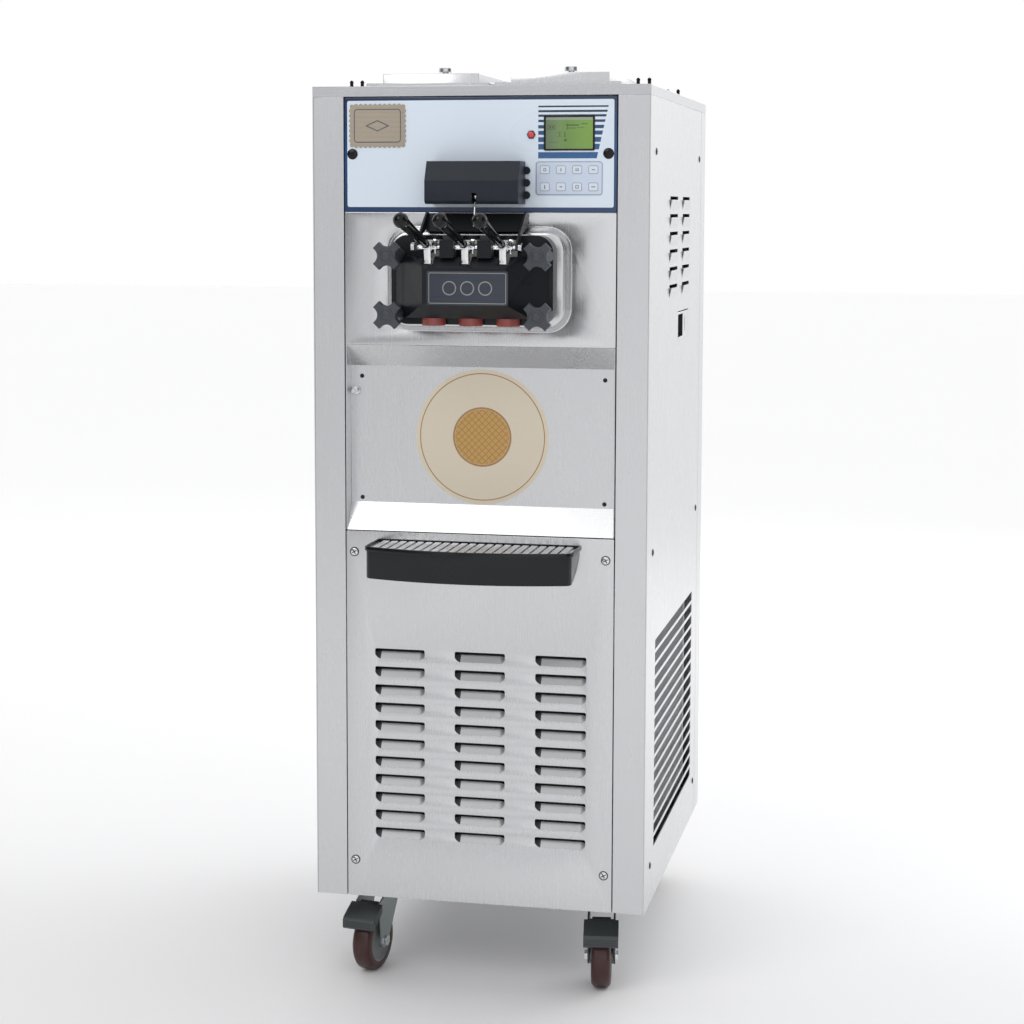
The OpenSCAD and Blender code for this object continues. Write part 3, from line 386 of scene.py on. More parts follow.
def screen_glass(net):
    """Backlit green screen with plain blocks for its readouts."""
    x, _, z = [value / MM for value in net.parts(net.point())]
    low_x, low_z = DISPLAY_LOW.x + 3.0, DISPLAY_LOW.z + 3.0
    u, v = x - low_x, z - low_z
    glow = net.ramp(u / 74.0,
                    [(0.0, (0.15, 0.21, 0.13)), (0.35, (0.15, 0.26, 0.07)), (1.0, (0.17, 0.33, 0.03))])
    blocks = None
    for middle_u, middle_v, width, height in SCREEN_BLOCKS:
        block = box_mask(u, v, middle_u, middle_v, width, height)
        blocks = block if blocks is None else blocks | block
    cells = net.node("ShaderNodeTexChecker", inputs={"Vector": net.point(), "Scale": 1100.0}, output=1)
    top = v > 44.0
    lit = net.mix(blocks * (0.65 + cells * 0.15), glow, (0.035, 0.06, 0.02))
    lit = net.mix(top * 0.75, lit, (0.30, 0.36, 0.29))
    return {
        "Base Color": lit,
        "Emission Color": lit,
        "Emission Strength": 0.12,
        "Roughness": 0.12 + cells * 0.03,
        "Coat Weight": 0.6,
        "Coat Roughness": 0.05,
    }


SCREEN_BLOCKS = [
    (9, 30, 12, 0.9), (9, 36, 12, 0.9), (3.4, 33, 0.9, 7), (14.6, 33, 0.9, 7), (7, 33, 2.4, 2.6),
    (11, 33, 2.4, 2.6),
    (42, 36, 20, 2.2), (61, 38, 10, 1.6), (40, 31.5, 14, 1.2), (55, 32, 12, 0.8), (34, 34, 1.0, 9),
    (22, 19, 7, 0.8), (22, 25, 7, 0.8), (22, 22, 1.4, 4), (30, 21, 1.6, 8), (31, 13, 4.4, 3.2),
    (12, 10, 16, 0.7),
]


def keypad_film(net):
    """Pale membrane with an outline round it, a frame round each key and plain signs."""
    x, _, z = [value / MM for value in net.parts(net.point())]
    middle_x, middle_z = (KEYPAD_LOW.x + KEYPAD_HIGH.x) / 2, (KEYPAD_LOW.z + KEYPAD_HIGH.z) / 2
    soft = net.noise(net.point(), 40.0, 2.0, 0.5)
    ground = net.mix(soft, (0.62, 0.72, 0.88), (0.72, 0.80, 0.93))
    lines = abs(rounded_distance(x, z, middle_x, middle_z, 103.5, 50.5, 4.0)) < 0.55
    key_face, signs = None, None
    for column in range(4):
        for row in range(2):
            key_x = middle_x + (column - 1.5) * 25.4
            key_z = middle_z + (row - 0.5) * 26.3
            distance = rounded_distance(x, z, key_x, key_z, 14.6, 12.2, 2.2)
            lines = lines | (abs(distance) < 0.4)
            key_face = (distance < 0.0) if key_face is None else key_face | (distance < 0.0)
            width, height = KEY_SIGNS[column + 4 * row]
            sign = box_mask(x, z, key_x, key_z, width, height)
            if width > 3.5 and height > 3.5:
                sign = sign - box_mask(x, z, key_x, key_z, width - 1.8, height - 1.8)
            signs = sign if signs is None else signs | sign
    ground = net.mix(key_face * 0.5, ground, (0.86, 0.91, 0.97))
    return {
        "Base Color": net.mix((lines * 0.75) | (signs * 0.95), ground, (0.05, 0.075, 0.13)),
        "Roughness": 0.34 + soft * 0.08,
        "Normal": net.bump(net.noise(net.point(), 1300.0, 2.0, 0.5), 0.10, 0.0001),
    }


KEY_SIGNS = [(1.4, 6.0), (4.2, 1.4), (5.0, 5.0), (6.5, 1.3), (4.4, 4.4), (1.3, 5.0), (5.0, 3.6),
             (4.8, 1.3)]


def decal_steel(net):
    """Splash panel steel with a round printed disc of wafer lattice."""
    steel = brushed_steel((0.68, 0.685, 0.70), 0.28)(net)
    x, y, z = [value / MM for value in net.parts(net.point())]
    middle_z = (SPLASH_LOW + SPLASH_HIGH) / 2 + 3.0
    away = ((x * x + (z - middle_z) * (z - middle_z)) ** 0.5) | 0.0
    disc = (away < 108.0) * (y > FRONT + RECESS - 2.0)
    paper = net.noise(net.point(), 330.0, 3.0, 0.6)
    ground = net.mix(paper, (0.70, 0.62, 0.49), (0.75, 0.67, 0.54))
    wave_a = abs(x.calc("FRACT", (x + z) / 11.0) - 0.5)
    wave_b = abs(x.calc("FRACT", (x - z) / 11.0) - 0.5)
    lattice = ((wave_a < 0.07) | (wave_b < 0.07)) * (away < 44.0)
    wafer = net.mix(lattice, (0.56, 0.33, 0.10), (0.38, 0.20, 0.055))
    rim = (abs(away - 46.0) < 1.6) | (abs(away - 101.0) < 0.8)
    print_colour = net.mix(away < 44.0, ground, wafer)
    print_colour = net.mix(rim, print_colour, (0.40, 0.22, 0.07))
    steel["Base Color"] = net.mix(disc, steel["Base Color"], print_colour)
    steel["Metallic"] = 1.0 - disc
    steel["Roughness"] = steel["Roughness"] + disc * 0.12
    return steel


def head_label(net):
    """Slate plate with a pale engraved frame and three engraved bars."""
    x, _, z = [value / MM for value in net.parts(net.point())]
    drawn = net.noise(net.scaled(net.point(), (14.0, 500.0, 900.0)), 1.0, 3.0, 0.6)
    ground = net.mix(drawn, (0.030, 0.038, 0.056), (0.062, 0.074, 0.10))
    frame_line = abs(rounded_distance(x, z, 6.0, LABEL_Z, 120.0, 46.0, 2.0)) < 0.6
    bars = None
    for middle_x in (-22.0, 6.0, 34.0):
        bar = abs(rounded_distance(x, z, middle_x, LABEL_Z, 20.0, 20.0, 9.9)) < 0.9
        bars = bar if bars is None else bars | bar
    return {
        "Base Color": net.mix((frame_line | bars) * 0.7, ground, (0.42, 0.40, 0.36)),
        "Metallic": 0.35,
        "Roughness": 0.36 + drawn * 0.12,
        "Normal": net.bump(drawn, 0.06, 0.0001),
    }


LABEL_Z = BASE + 995.0


def lamp_glass(net):
    """Red lens with moulded facets; each facet is painted lighter towards its edges, a painted highlight
    besides the bump.
    """
    facets = net.node("ShaderNodeTexVoronoi", inputs={"Vector": net.point(), "Scale": 620.0})
    return {
        # Lighter red towards each facet's edge is a painted highlight.
        "Base Color": net.mix(facets, (0.45, 0.012, 0.02), (0.75, 0.08, 0.09)),
        "Emission Color": (0.6, 0.02, 0.03),
        "Emission Strength": 0.12,
        "Roughness": 0.12 + facets * 0.1,
        "Normal": net.bump(facets, 0.35, 0.0006),
        "Coat Weight": 0.6,
        "Coat Roughness": 0.04,
    }


def pale_floor(net):
    """Matt pale studio floor with the faintest mottling; it glows faintly, more towards the back, which is
    painted light.
    """
    mottle = net.noise(net.point(), 0.7, 3.0, 0.5)
    far = (net.parts(net.point())[1] * 0.35 | 0.0) & 1.0
    return {
        "Base Color": net.mix(mottle, (0.90, 0.90, 0.905), (0.93, 0.93, 0.935)),
        "Roughness": 0.55 + mottle * 0.1,
        "Specular IOR Level": 0.25,
        # The floor's glow, rising towards the back, is painted light.
        "Emission Color": net.ramp(far, [(0.0, (0.0, 0.0, 0.0)), (1.0, (0.22, 0.22, 0.22))]),
        "Emission Strength": 1.0,
    }


class SoftServeColours(bpy.types.PropertyGroup):
    """Colours of the machine's finishes."""

    steel: FloatVectorProperty(name="Steel", description="Colour of the polished sheet", subtype="COLOR",
                               size=3, min=0.0, max=1.0, default=(0.62, 0.625, 0.64))
    pale_steel: FloatVectorProperty(name="Pale steel",
                                    description="Colour of the satin front and side sheets",
                                    subtype="COLOR", size=3, min=0.0, max=1.0,
                                    default=(0.68, 0.685, 0.70))
    head: FloatVectorProperty(name="Head", description="Colour of the dispensing head", subtype="COLOR",
                              size=3, min=0.0, max=1.0, default=(0.006, 0.0075, 0.011))
    knobs: FloatVectorProperty(name="Knobs", description="Colour of the star knobs", subtype="COLOR",
                               size=3, min=0.0, max=1.0, default=(0.050, 0.056, 0.068))
    caps: FloatVectorProperty(name="Nozzle caps", description="Colour of the nozzle caps",
                              subtype="COLOR", size=3, min=0.0, max=1.0, default=(0.26, 0.045, 0.035))
    tyres: FloatVectorProperty(name="Tyres", description="Colour of the caster tyres", subtype="COLOR",
                               size=3, min=0.0, max=1.0, default=(0.040, 0.006, 0.005))
    tray: FloatVectorProperty(name="Tray", description="Colour of the drip tray", subtype="COLOR", size=3,
                              min=0.0, max=1.0, default=(0.006, 0.0075, 0.010))


class SoftServeSizes(bpy.types.PropertyGroup):
    """Sizes of the details that the looks add to the frame."""

    sheet_edge: FloatProperty(name="Sheet edge",
                              description="Rounding along the edges of the sheet panels", default=0.0006,
                              min=0.0001, max=0.002, unit="LENGTH")
    louvre_rows: IntProperty(name="Louvre rows", description="Rows of louvres in the lower panel",
                             default=11, min=1, max=20)
    louvre_pitch: FloatProperty(name="Louvre spacing", description="Height from one louvre to the next",
                                default=0.0295, min=0.02, max=0.04, unit="LENGTH")
    louvre_width: FloatProperty(name="Louvre width", description="Width of one louvre", default=0.082,
                                min=0.04, max=0.1, unit="LENGTH")
    louvre_low: FloatProperty(name="Lowest louvre",
                              description="Height of the lowest louvre's lip above the cabinet's edge",
                              default=0.116, min=0.05, max=0.2, unit="LENGTH")
    fin_pitch: FloatProperty(name="Fin spacing", description="Distance between the condenser's fins",
                             default=0.0032, min=0.002, max=0.01, unit="LENGTH")
    grid_bars: IntProperty(name="Grid bars", description="Number of bars in the drip grid", default=22,
                           min=4, max=40)


FINISH = {}


def make_finishes(colours):
    steel, pale = tuple(colours.steel), tuple(colours.pale_steel)
    FINISH.update({
        name: material(name, build)
        for name, build in {
            "stainless": brushed_steel(steel, 0.26, (7.0, 620.0, 620.0)),
            "stainless_light": brushed_steel(pale, 0.26),
            "white_steel": brushed_steel(pale, 0.28),
            "splash_print": decal_steel,
            "fascia_face": fascia_film,
            "badge_tan": badge_film,
            "display_green": screen_glass,
            "keypad_film": keypad_film,
            "lamp_red": lamp_glass,
            "head_label": head_label,
            "dark_grey_plastic": plastic((0.009, 0.014, 0.024), 0.40, 1100.0, 0.12, shine=0.3),
            "black_acetal": plastic(tuple(colours.head), 0.30, 700.0, 0.05, 0.0, 0.05, 0.28),
            "bright_steel": polished_steel((0.80, 0.81, 0.83), 0.12),
            "orange_plastic": plastic(tuple(colours.caps), 0.32, 600.0, 0.05, 0.2, 0.5),
            "black_rubber": plastic((0.008, 0.008, 0.009), 0.70, 500.0, 0.20, fade=0.05, shine=0.2),
            "grid_steel": brushed_steel((0.93, 0.935, 0.94), 0.42, (700.0, 6.0, 700.0), 0.03),
            # Darker copy of the panel's pale steel for the pressed louvre scoops: painted shade in the
            # recesses.
            "louvre_steel_painted_shade": brushed_steel((0.50, 0.505, 0.515), 0.50, depth=0.05),
            # Near-black copy of the louvre steel for the louvres' end cheeks: painted shade in the pressed
            # recesses.
            "louvre_cheek_painted_shade": brushed_steel((0.075, 0.076, 0.080), 0.50, depth=0.05),
            "grey_cast": paint((0.30, 0.31, 0.33), 0.50, 180.0, 0.35, 0.3),
            "black_paint": paint((0.018, 0.018, 0.020), 0.35),
            "fin_aluminium": brushed_steel((0.66, 0.67, 0.69), 0.38, (400.0, 400.0, 30.0)),
            "grey_paint": paint((0.42, 0.43, 0.45), 0.40),
            "copper_tube": polished_steel((0.78, 0.36, 0.20), 0.28),
            "black_plastic": plastic((0.014, 0.015, 0.018), 0.45, 800.0, 0.14),
            "zinc_steel": paint((0.50, 0.53, 0.53), 0.34, 90.0, 0.05, 0.9),
            "dark_sheet": paint((0.030, 0.033, 0.038), 0.34, 300.0, 0.06, 0.4),
            "gloss_black_plastic": plastic(tuple(colours.tray), 0.14, 400.0, 0.02, 0.06, 0.05, 0.3),
            "black_grip": plastic((0.003, 0.003, 0.0035), 0.12, 300.0, 0.01, 0.08, 0.02, 0.3),
            "white_acetal": plastic((0.78, 0.78, 0.74), 0.36, 500.0, 0.05),
            "slate_plastic": plastic(tuple(colours.knobs), 0.38, 1000.0, 0.14, shine=0.4),
            "dark_fork": paint((0.060, 0.068, 0.072), 0.38, 220.0, 0.10, 0.3),
            "fork_zinc": paint((0.36, 0.40, 0.40), 0.36, 120.0, 0.06, 0.8),
            "burgundy_tyre": tyre_rubber(tuple(colours.tyres)),
            "hub_grey": plastic((0.16, 0.165, 0.17), 0.40, 500.0, 0.08),
        }.items()
    })
    for node, thing in frame["nodes"].items():
        for place in range(len(thing.data.materials)):
            thing.data.materials[place] = FINISH[SLOT_OF[node]]


# ---- meshes ----


def join(parts):
    """One bmesh from several (bmesh, material index, matrix) parts."""
    whole = bmesh.new()
    for part, finish, matrix in parts:
        if matrix is not None:
            part.transform(matrix)
        for face in part.faces:
            face.material_index = finish
        passing = bpy.data.meshes.new("passing")
        part.to_mesh(passing)
        part.free()
        whole.from_mesh(passing)
        bpy.data.meshes.remove(passing)
    return whole


def outward(shape):
    bmesh.ops.remove_doubles(shape, verts=shape.verts, dist=0.001)
    bmesh.ops.recalc_face_normals(shape, faces=shape.faces)
    return shape


def loft(rings, closed=True):
    """Quads between loops of the same length, with flat ends."""
    shape = bmesh.new()
    loops = [[shape.verts.new(point) for point in ring] for ring in rings]
    count = len(loops[0])
    for low, high in zip(loops, loops[1:]):
        for i in range(count):
            shape.faces.new((low[i], low[(i + 1) % count], high[(i + 1) % count], high[i]))
    if closed:
        for end in (loops[0], loops[-1]):
            if len(set(tuple(vert.co) for vert in end)) > 2:
                shape.faces.new(end)
    return outward(shape)


def lathe(profile, segments=48):
    """A turned shape about Z from (radius, height) pairs."""
    rings = []
    for radius, height in profile:
        turns = [2 * math.pi * i / segments for i in range(segments)]
        rings.append([Vector((radius * math.cos(t), radius * math.sin(t), height)) for t in turns])
    return loft(rings)


def rounded_loop(width, height, radius, steps=8):
    """A rounded rectangle as (u, v) pairs, anticlockwise."""
    loop = []
    for corner in range(4):
        turn = corner * math.pi / 2
        sign_u = 1 if corner in (0, 3) else -1
        sign_v = 1 if corner in (0, 1) else -1
        for i in range(steps + 1):
            angle = turn + math.pi / 2 * i / steps
            loop.append((sign_u * (width / 2 - radius) + radius * math.cos(angle),
                         sign_v * (height / 2 - radius) + radius * math.sin(angle)))
    return loop


def moved(loop, du, dv):
    return [(u + du, v + dv) for u, v in loop]


def facing(loop, reach):
    """A flat (x, z) loop stood at a reach in front of the cabinet."""
    return [at(x, reach, z) for x, z in loop]


def cut_sheet(outline, holes, front, back, edge=0.25):
    """Sheet with holes, drawn in X and Z, from one reach back to another."""
    curve = bpy.data.curves.new("outline", "CURVE")
    curve.dimensions, curve.fill_mode = "2D", "BOTH"
    curve.bevel_depth, curve.bevel_resolution = edge, 1
    curve.extrude = (front - back) / 2 - edge
    curve.offset = -edge
    for loop in [outline] + holes:
        spline = curve.splines.new("POLY")
        spline.points.add(len(loop) - 1)
        for point, (u, v) in zip(spline.points, loop):
            point.co = (u, v, 0.0, 1.0)
        spline.use_cyclic_u = True
    holder = bpy.data.objects.new("outline", curve)
    bpy.context.scene.collection.objects.link(holder)
    bpy.context.view_layer.update()
    flat = bpy.data.meshes.new_from_object(holder.evaluated_get(bpy.context.evaluated_depsgraph_get()))
    bpy.data.objects.remove(holder)
    shape = bmesh.new()
    shape.from_mesh(flat)
    bpy.data.meshes.remove(flat)
    stand = Matrix(((1, 0, 0, 0), (0, 0, -1, FRONT - (front + back) / 2), (0, 1, 0, 0), (0, 0, 0, 1)))
    shape.transform(stand)
    return outward(shape)


def block(low, high, edge=0.6, segments=2):
    """A block between two corners with rounded edges."""
    shape = bmesh.new()
    bmesh.ops.create_cube(shape, size=1.0)
    size = [abs(b - a) for a, b in zip(low, high)]
    middle = [(a + b) / 2 for a, b in zip(low, high)]
    shape.transform(Matrix.Translation(middle) @ Matrix.Diagonal((*size, 1.0)))
    edge = min(edge, 0.45 * min(size))
    bmesh.ops.bevel(shape, geom=list(shape.edges), offset=edge, segments=segments, affect="EDGES",
                    profile=0.5)
    return outward(shape)


def prism(outline, x_low, x_high, edge=0.6):
    """An outline in (reach, z) made solid across X, with rounded edges."""
    rings = [[at(x, reach, z) for reach, z in outline] for x in (x_low, x_high)]
    shape = loft(rings)
    bmesh.ops.bevel(shape, geom=list(shape.edges), offset=edge, segments=2, affect="EDGES", profile=0.5)
    return outward(shape)


def tube(path, radius, segments=12):
    """A round bar that follows a path of points, with domed ends."""
    points = [Vector(point) for point in path]
    tangents = [(points[min(i + 1, len(points) - 1)] - points[max(i - 1, 0)]).normalized()
                for i in range(len(points))]
    side = tangents[0].orthogonal().normalized()
    rings = []
    for i, (point, tangent) in enumerate(zip(points, tangents)):
        side = (side - tangent * side.dot(tangent)).normalized()
        over = tangent.cross(side)
        ends = [(0.02, 0.9), (0.7, 0.4), (1.0, 0.0)] if i == 0 else [(1.0, 0.0)]
        if i == len(points) - 1:
            ends = [(1.0, 0.0), (0.7, -0.4), (0.02, -0.9)]
        for share, back in ends:
            centre = point - tangent * radius * back
            rings.append([centre + radius * share * (side * math.cos(a) + over * math.sin(a))
                          for a in [2 * math.pi * k / segments for k in range(segments)]])
    return loft(rings)


def finished(name, shape, body, finishes, stands_for=(), smooth=38.0, modifiers=()):
    """Turns a bmesh in millimetres, or a mesh already in metres, into a finished piece of the object."""
    mesh = shape
    if isinstance(shape, bmesh.types.BMesh):
        mesh = bpy.data.meshes.new(name)
        shape.to_mesh(mesh)
        shape.free()
        mesh.transform(Matrix.Scale(MM, 4))
    mesh.name = name
    kinds = [0] * len(mesh.polygons)
    mesh.polygons.foreach_get("material_index", kinds)
    mesh.materials.clear()
    for finish in finishes:
        mesh.materials.append(FINISH[finish])
    mesh.polygons.foreach_set("material_index", kinds)
    mesh.polygons.foreach_set("use_smooth", [True] * len(mesh.polygons))
    mesh.set_sharp_from_angle(angle=math.radians(smooth))
    piece = bpy.data.objects.new(name, mesh)
    bpy.context.scene.collection.objects.link(piece)
    for kind, settings in modifiers:
        modifier = piece.modifiers.new(kind.lower(), kind)
        for key, value in settings.items():
            setattr(modifier, key, value)
    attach(piece, body)
    if stands_for:
        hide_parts(*stands_for)
    return piece


def softened(node, edge, finishes=None, accent=None, angle=32.0, smooth=30.0):
    """A frame node's own shape with rounded edges, which takes the node's place."""
    shape = bmesh.new()
    shape.from_mesh(frame["nodes"][node].data)
    shape.transform(Matrix.Scale(1 / MM, 4))
    bmesh.ops.remove_doubles(shape, verts=shape.verts, dist=0.002)
    bmesh.ops.dissolve_degenerate(shape, edges=shape.edges, dist=0.01)
    bmesh.ops.dissolve_limit(shape, angle_limit=math.radians(0.6), verts=shape.verts, edges=shape.edges)
    for face in shape.faces:
        face.material_index = 1 if accent and accent(face.calc_center_median()) else 0
    finishes = finishes or [SLOT_OF[node]]
    bevel = {"width": edge * MM, "segments": 2, "limit_method": "ANGLE",
             "angle_limit": math.radians(angle),
             "use_clamp_overlap": True, "miter_outer": "MITER_ARC"}
    body = frame["nodes"][node]["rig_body"]
    return finished(node + "_piece", shape, body, finishes, [node], smooth,
                    [("BEVEL", bevel)])


# ---- repeats ----


def tree_with(name, sockets):
    tree = bpy.data.node_groups.new(name, "GeometryNodeTree")
    for label, kind in sockets:
        tree.interface.new_socket(name=label, in_out="INPUT", socket_type="NodeSocket" + kind)
    tree.interface.new_socket(name="Geometry", in_out="OUTPUT", socket_type="NodeSocketGeometry")
    net = Net(tree)
    group_in = tree.nodes.new("NodeGroupInput")
    given = {label: Val(net, group_in.outputs[label]) for label, _ in sockets}
    return net, given


def end_tree(net, geometry, finish):
    real = net.node("GeometryNodeRealizeInstances", inputs={0: geometry})
    done = net.node("GeometryNodeSetMaterial", inputs={"Geometry": real, "Material": finish})
    net.node("NodeGroupOutput", inputs={0: done})
    return net.tree


def rows_tree():
    """Copies of a pattern in columns and rows."""
    net, given = tree_with("copies_in_rows", [
        ("Pattern", "Object"), ("Columns", "Int"), ("Rows", "Int"), ("First", "Vector"),
        ("Column step", "Vector"), ("Row step", "Vector"), ("Finish", "Material")])
    columns = net.node("GeometryNodeMeshLine", {"mode": "OFFSET"}, {
        "Count": given["Columns"], "Start Location": given["First"], "Offset": given["Column step"]})
    rows = net.node("GeometryNodeMeshLine", {"mode": "OFFSET"},
                    {"Count": given["Rows"], "Offset": given["Row step"]})
    places = net.node("GeometryNodeInstanceOnPoints", inputs={"Points": columns, "Instance": rows})
    places = net.node("GeometryNodeRealizeInstances", inputs={0: places})
    shape = net.node("GeometryNodeObjectInfo", inputs={"Object": given["Pattern"]}, output="Geometry")
    copies = net.node("GeometryNodeInstanceOnPoints", inputs={"Points": places, "Instance": shape})
    return end_tree(net, copies, given["Finish"])


def places_tree():
    """Copies of a pattern on given points, each turned by its own attribute."""
    net, given = tree_with("copies_on_points",
                           [("Geometry", "Geometry"), ("Pattern", "Object"), ("Finish", "Material")])
    turn = net.node("GeometryNodeInputNamedAttribute", {"data_type": "FLOAT_VECTOR"}, {"Name": "turn"})
    shape = net.node("GeometryNodeObjectInfo", inputs={"Object": given["Pattern"]}, output="Geometry")
    copies = net.node("GeometryNodeInstanceOnPoints", inputs={
        "Points": given["Geometry"], "Instance": shape, "Rotation": turn})
    return end_tree(net, copies, given["Finish"])


def bars_tree():
    """Bars side by side that end on a bowed front edge."""
    net, given = tree_with("bowed_bars", [
        ("Pattern", "Object"), ("Bars", "Int"), ("First", "Vector"), ("Step", "Vector"),
        ("Bow radius", "Float"),
        ("Middle length", "Float"), ("Finish", "Material")])
    places = net.node("GeometryNodeMeshLine", {"mode": "OFFSET"}, {
        "Count": given["Bars"], "Start Location": given["First"], "Offset": given["Step"]})
    x = net.parts(net.node("GeometryNodeInputPosition"))[0]
    radius = given["Bow radius"]
    sag = radius - (radius * radius - x * x) ** 0.5
    length = given["Middle length"] - sag
    stretch = net.node("ShaderNodeCombineXYZ", inputs={0: 1.0, 1: length / MM, 2: 1.0})
    shape = net.node("GeometryNodeObjectInfo", inputs={"Object": given["Pattern"]}, output="Geometry")
    copies = net.node("GeometryNodeInstanceOnPoints",
                      inputs={"Points": places, "Instance": shape, "Scale": stretch})
    return end_tree(net, copies, given["Finish"])


def spring_tree():
    """A coil spring standing on the origin."""
    net, given = tree_with("coil_spring", [
        ("Turns", "Float"), ("Radius", "Float"), ("Height", "Float"), ("Wire", "Float"),
        ("Finish", "Material")])
    coil = net.node("GeometryNodeCurveSpiral", inputs={
        "Resolution": 14, "Rotations": given["Turns"], "Start Radius": given["Radius"],
        "End Radius": given["Radius"], "Height": given["Height"]})
    ring = net.node("GeometryNodeCurvePrimitiveCircle", inputs={"Resolution": 8, "Radius": given["Wire"]})
    wire = net.node("GeometryNodeCurveToMesh",
                    inputs={"Curve": coil, "Profile Curve": ring, "Fill Caps": True})
    return end_tree(net, wire, given["Finish"])


TREES = {}


def repeated(tree, values, pattern=None, points=None):
    """The plain mesh that a tree makes, in metres. points are (place, turn) in millimetres."""
    mesh = bpy.data.meshes.new("places")
    if points:
        mesh.from_pydata([place * MM for place, _ in points], [], [])
        turns = mesh.attributes.new("turn", "FLOAT_VECTOR", "POINT")
        turns.data.foreach_set("vector", [value for _, turn in points for value in turn])
    host = bpy.data.objects.new("places", mesh)
    bpy.context.scene.collection.objects.link(host)
    temporary = None
    if pattern is not None:
        shape = bpy.data.meshes.new("pattern")
        pattern.to_mesh(shape)
        pattern.free()
        shape.transform(Matrix.Scale(MM, 4))
        temporary = bpy.data.objects.new("pattern", shape)
        bpy.context.scene.collection.objects.link(temporary)
        values = {**values, "Pattern": temporary}
    modifier = host.modifiers.new("repeat", "NODES")
    modifier.node_group = TREES[tree]
    for item in TREES[tree].interface.items_tree:
        if item.in_out == "INPUT" and item.name in values:
            modifier[item.identifier] = values[item.name]
    bpy.context.view_layer.update()
    made = bpy.data.meshes.new_from_object(host.evaluated_get(bpy.context.evaluated_depsgraph_get()))
    host.modifiers.remove(modifier)
    bpy.data.objects.remove(host)
    if temporary:
        bpy.data.objects.remove(temporary)
    return made


def screw_head(radius, height, slot=True):
    """A domed head on a flat washer, slotted across, looking along +Z."""
    profile = [(0.0, 0.0), (radius, 0.0), (radius, 0.22 * height), (0.97 * radius, 0.3 * height),
               (0.8 * radius, 0.32 * height), (0.78 * radius, 0.5 * height)]
    profile += [(0.78 * radius * math.cos(a), (0.5 + 0.5 * math.sin(a)) * height)
                for a in (0.4, 0.8, 1.2)]
    profile += [(0.0, height)]
    parts = [(lathe(profile, 24), 0, None)]
    if slot:
        wide, deep = 0.62 * radius, 0.09 * radius
        for turn in (0.0, math.pi / 2):
            parts.append((block((-wide, -deep, 0.9 * height), (wide, deep, 1.04 * height), 0.1, 1), 0,
                          Matrix.Rotation(turn, 4, "Z")))
    return join(parts)


def painted_shade_of_screw(radius, height):
    """Painted shade of a large screw: a dark cross that stands for the shade in its slots, and a dark ring
    of painted shadow round its rim.
    """
    bars = [(block((-0.62 * radius, -0.7, 0.9 * height), (0.62 * radius, 0.7, height + 0.2), 0.1, 1), 0,
             Matrix.Rotation(turn, 4, "Z"))
            for turn in (0.5, 0.5 + math.pi / 2)]
    rim = lathe([(0.8 * radius, 0.1), (radius + 0.5, 0.1), (radius + 0.5, 0.5), (0.8 * radius, 0.5),
                 (0.8 * radius, 0.1)], 24)
    return join(bars + [(rim, 0, None)])


TOWARDS_FRONT = (math.pi / 2, 0.0, 0.0)
TOWARDS_RIGHT = (0.0, math.pi / 2, 0.0)
TOWARDS_LEFT = (0.0, -math.pi / 2, 0.0)


# ---- cabinet ----


def build_cabinet(sizes):
    for node in ("base_pan", "corner_posts", "top_cover"):
        softened(node, sizes.sheet_edge / MM)
    softened("cable_gland", 0.8)


# Louvres of the lower front panel: sloping ends, open slit, scoop, depth and step between columns.
EAR = 9.0
SLIT = 5.5
SCOOP = 11.0
SCOOP_DEPTH = 7.6
COLUMN_STEP = 131.6


def pressed_louvre(width, height, depth, ends):
    """Strip of a scoop pressed into sheet below an open slit: its end cheek, or the rest of it."""
    left, right = ends
    count = max(8, round((right - left) / 5.0))
    shape = bmesh.new()
    grid = []
    for j in range(13):
        v = j / 12
        row = []
        for i in range(count + 1):
            x = left + (right - left) * i / count
            inward = min(1.0, (width / 2 - abs(x)) / EAR)
            foot = height * 0.6 * (1 - inward) ** 2
            row.append(shape.verts.new((x, depth * v * math.sin(inward * math.pi / 2),
                                        foot + (height - foot) * v)))
        grid.append(row)
    for low, high in zip(grid, grid[1:]):
        for i in range(count):
            shape.faces.new((low[i], low[i + 1], high[i + 1], high[i]))
    bmesh.ops.remove_doubles(shape, verts=shape.verts, dist=0.001)
    bmesh.ops.recalc_face_normals(shape, faces=shape.faces)
    if sum(face.normal.y * face.calc_area() for face in shape.faces) > 0:
        bmesh.ops.reverse_faces(shape, faces=list(shape.faces))
    return shape


def louvre_window(width, height, slit):
    """Outline of a louvre's opening in the sheet: a slit with round ends above a rounded foot."""
    loop = [(width / 2 - slit / 2 + slit / 2 * math.cos(a), height + slit / 2 + slit / 2 * math.sin(a))
            for a in [math.pi / 2 * i / 4 for i in range(5)]]
    loop += [(-x, z) for x, z in reversed(loop)]
    feet = []
    for i in range(9):
        inward = i / 8
        feet.append((-width / 2 + EAR * inward, height * 0.6 * (1 - inward) ** 2))
    return loop + feet + [(-x, z) for x, z in reversed(feet)]


